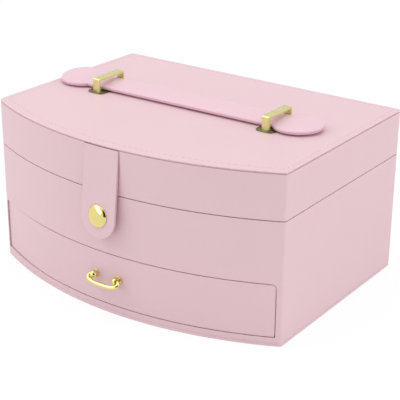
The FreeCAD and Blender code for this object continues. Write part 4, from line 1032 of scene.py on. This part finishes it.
def make_room():
    """A pale floor that looks white where it is seen, and still takes the box's shadow."""
    mat, tree, surface = bare_material("pale_floor")
    diffuse = tree.nodes.new("ShaderNodeBsdfDiffuse")
    diffuse.inputs["Color"].default_value = (0.9, 0.9, 0.9, 1)
    share = tree.nodes.new("ShaderNodeMath")
    share.operation = "MULTIPLY"
    share.inputs[1].default_value = 0.86
    mix = tree.nodes.new("ShaderNodeMixShader")
    tree.links.new(seen_directly(tree), share.inputs[0])
    tree.links.new(share.outputs[0], mix.inputs[0])
    tree.links.new(diffuse.outputs[0], mix.inputs[1])
    tree.links.new(glow_node(tree, 1.03), mix.inputs[2])
    tree.links.new(mix.outputs[0], surface)
    floor = rectangle("floor", 12.0, 12.0, mat)
    floor.location.z = -0.0002


def make_world(ambient):
    """Even light from all round, and white where the world itself is seen."""
    world = bpy.data.worlds.new("studio")
    bpy.context.scene.world = world
    world.use_nodes = True
    tree = world.node_tree
    back = tree.nodes["Background"]
    mix = tree.nodes.new("ShaderNodeMix")
    mix.data_type = "FLOAT"
    mix.inputs["A"].default_value = ambient
    mix.inputs["B"].default_value = 1.0
    tree.links.new(seen_directly(tree), mix.inputs["Factor"])
    tree.links.new(mix.outputs["Result"], back.inputs["Strength"])
    back.inputs["Color"].default_value = WHITE


MIDDLE = Vector((0.0, 0.0, 0.08))


def area_light(name, spot, size, power):
    """A square soft lamp aimed at the box's middle."""
    lamp = bpy.data.lights.new(name, "AREA")
    lamp.shape = "RECTANGLE"
    lamp.size = lamp.size_y = size
    lamp.energy = power
    obj = bpy.data.objects.new(name, lamp)
    bpy.context.scene.collection.objects.link(obj)
    obj.location = spot
    obj.rotation_mode = "QUATERNION"
    obj.rotation_quaternion = (MIDDLE - Vector(spot)).to_track_quat("-Z", "Y")


def card(name, spot, width, height, level, lengthwise=None):
    """A studio card that only mirror-like reflections show: black to darken them, white to
    light them. It faces the box's middle, its width level or along lengthwise."""
    mat, tree, surface = bare_material(name)
    tree.links.new(glow_node(tree, level), surface)
    obj = rectangle(name, width, height, mat)
    towards = (MIDDLE - Vector(spot)).normalized()
    lengthwise = Vector(lengthwise or towards.cross(Vector((0, 0, 1))))
    lengthwise = (lengthwise - towards * lengthwise.dot(towards)).normalized()
    upright = lengthwise.cross(towards)
    obj.location = spot
    obj.rotation_mode = "QUATERNION"
    obj.rotation_quaternion = Matrix((lengthwise, upright, -towards)).transposed().to_quaternion()
    obj.visible_camera = False
    obj.visible_diffuse = False
    obj.visible_transmission = False
    obj.visible_shadow = False


def make_camera():
    """The photograph's viewpoint, with its slight roll."""
    camera = bpy.data.cameras.new("camera")
    camera.lens = 104.53
    camera.sensor_width = 36.0
    obj = bpy.data.objects.new("camera", camera)
    bpy.context.scene.collection.objects.link(obj)
    forward = Vector((-0.53686, 0.74934, -0.38765)).normalized()
    level = forward.cross(Vector((0, 0, 1))).normalized()
    right = Matrix.Rotation(-0.00695, 3, forward) @ level
    up = right.cross(forward)
    obj.location = (0.4919, -0.6678, 0.4044)
    obj.rotation_mode = "QUATERNION"
    obj.rotation_quaternion = Matrix((right, up, -forward)).transposed().to_quaternion()
    bpy.context.scene.camera = obj


def dress_nodes():
    """Gives each CAD node the material of its slot."""
    slot_of = {part["node"]: part["material_slot"] for part in frame["record"]["subparts"]}
    for name, obj in frame["nodes"].items():
        mat = MATERIALS[SLOT_LOOKS[slot_of[name]]]
        if not obj.material_slots:
            obj.data.materials.append(mat)
        for slot in obj.material_slots:
            slot.material = mat


make_camera()
make_room()
make_world(0.745)
area_light("key", (-1.15, -0.75, 1.3), 1.3, 7.2)
area_light("right", (1.75, 0.25, 0.95), 1.2, 6.0)
area_light("top", (0.0, 0.1, 2.0), 1.2, 6.6)
card("dark_card", (0.80, -1.08, 0.56), 1.75, 1.3, 0.02)
card("grey_card", (-0.80, 1.12, 0.66), 1.2, 0.9, 0.74)
card("white_card", (-0.50, -1.0, 0.52), 1.0, 0.26, 4.0, (0.71, -0.56, -0.47))
bpy.context.scene.view_settings.view_transform = "Standard"

dress_nodes()
make_case_skin()
make_lid_skin()
make_lid_top()
make_lid_stitches()
make_drawer_front()
make_tab()
make_snap()
make_strap()
make_loop("left")
make_loop("right")
make_bail()
make_post("left", -1)
make_post("right", 1)
make_long_divider("tray_long_divider", "case")
make_long_divider("drawer_long_divider", "drawer")
make_tray_dividers()
make_drawer_dividers()
make_ring_rolls()
make_mirror_bead()
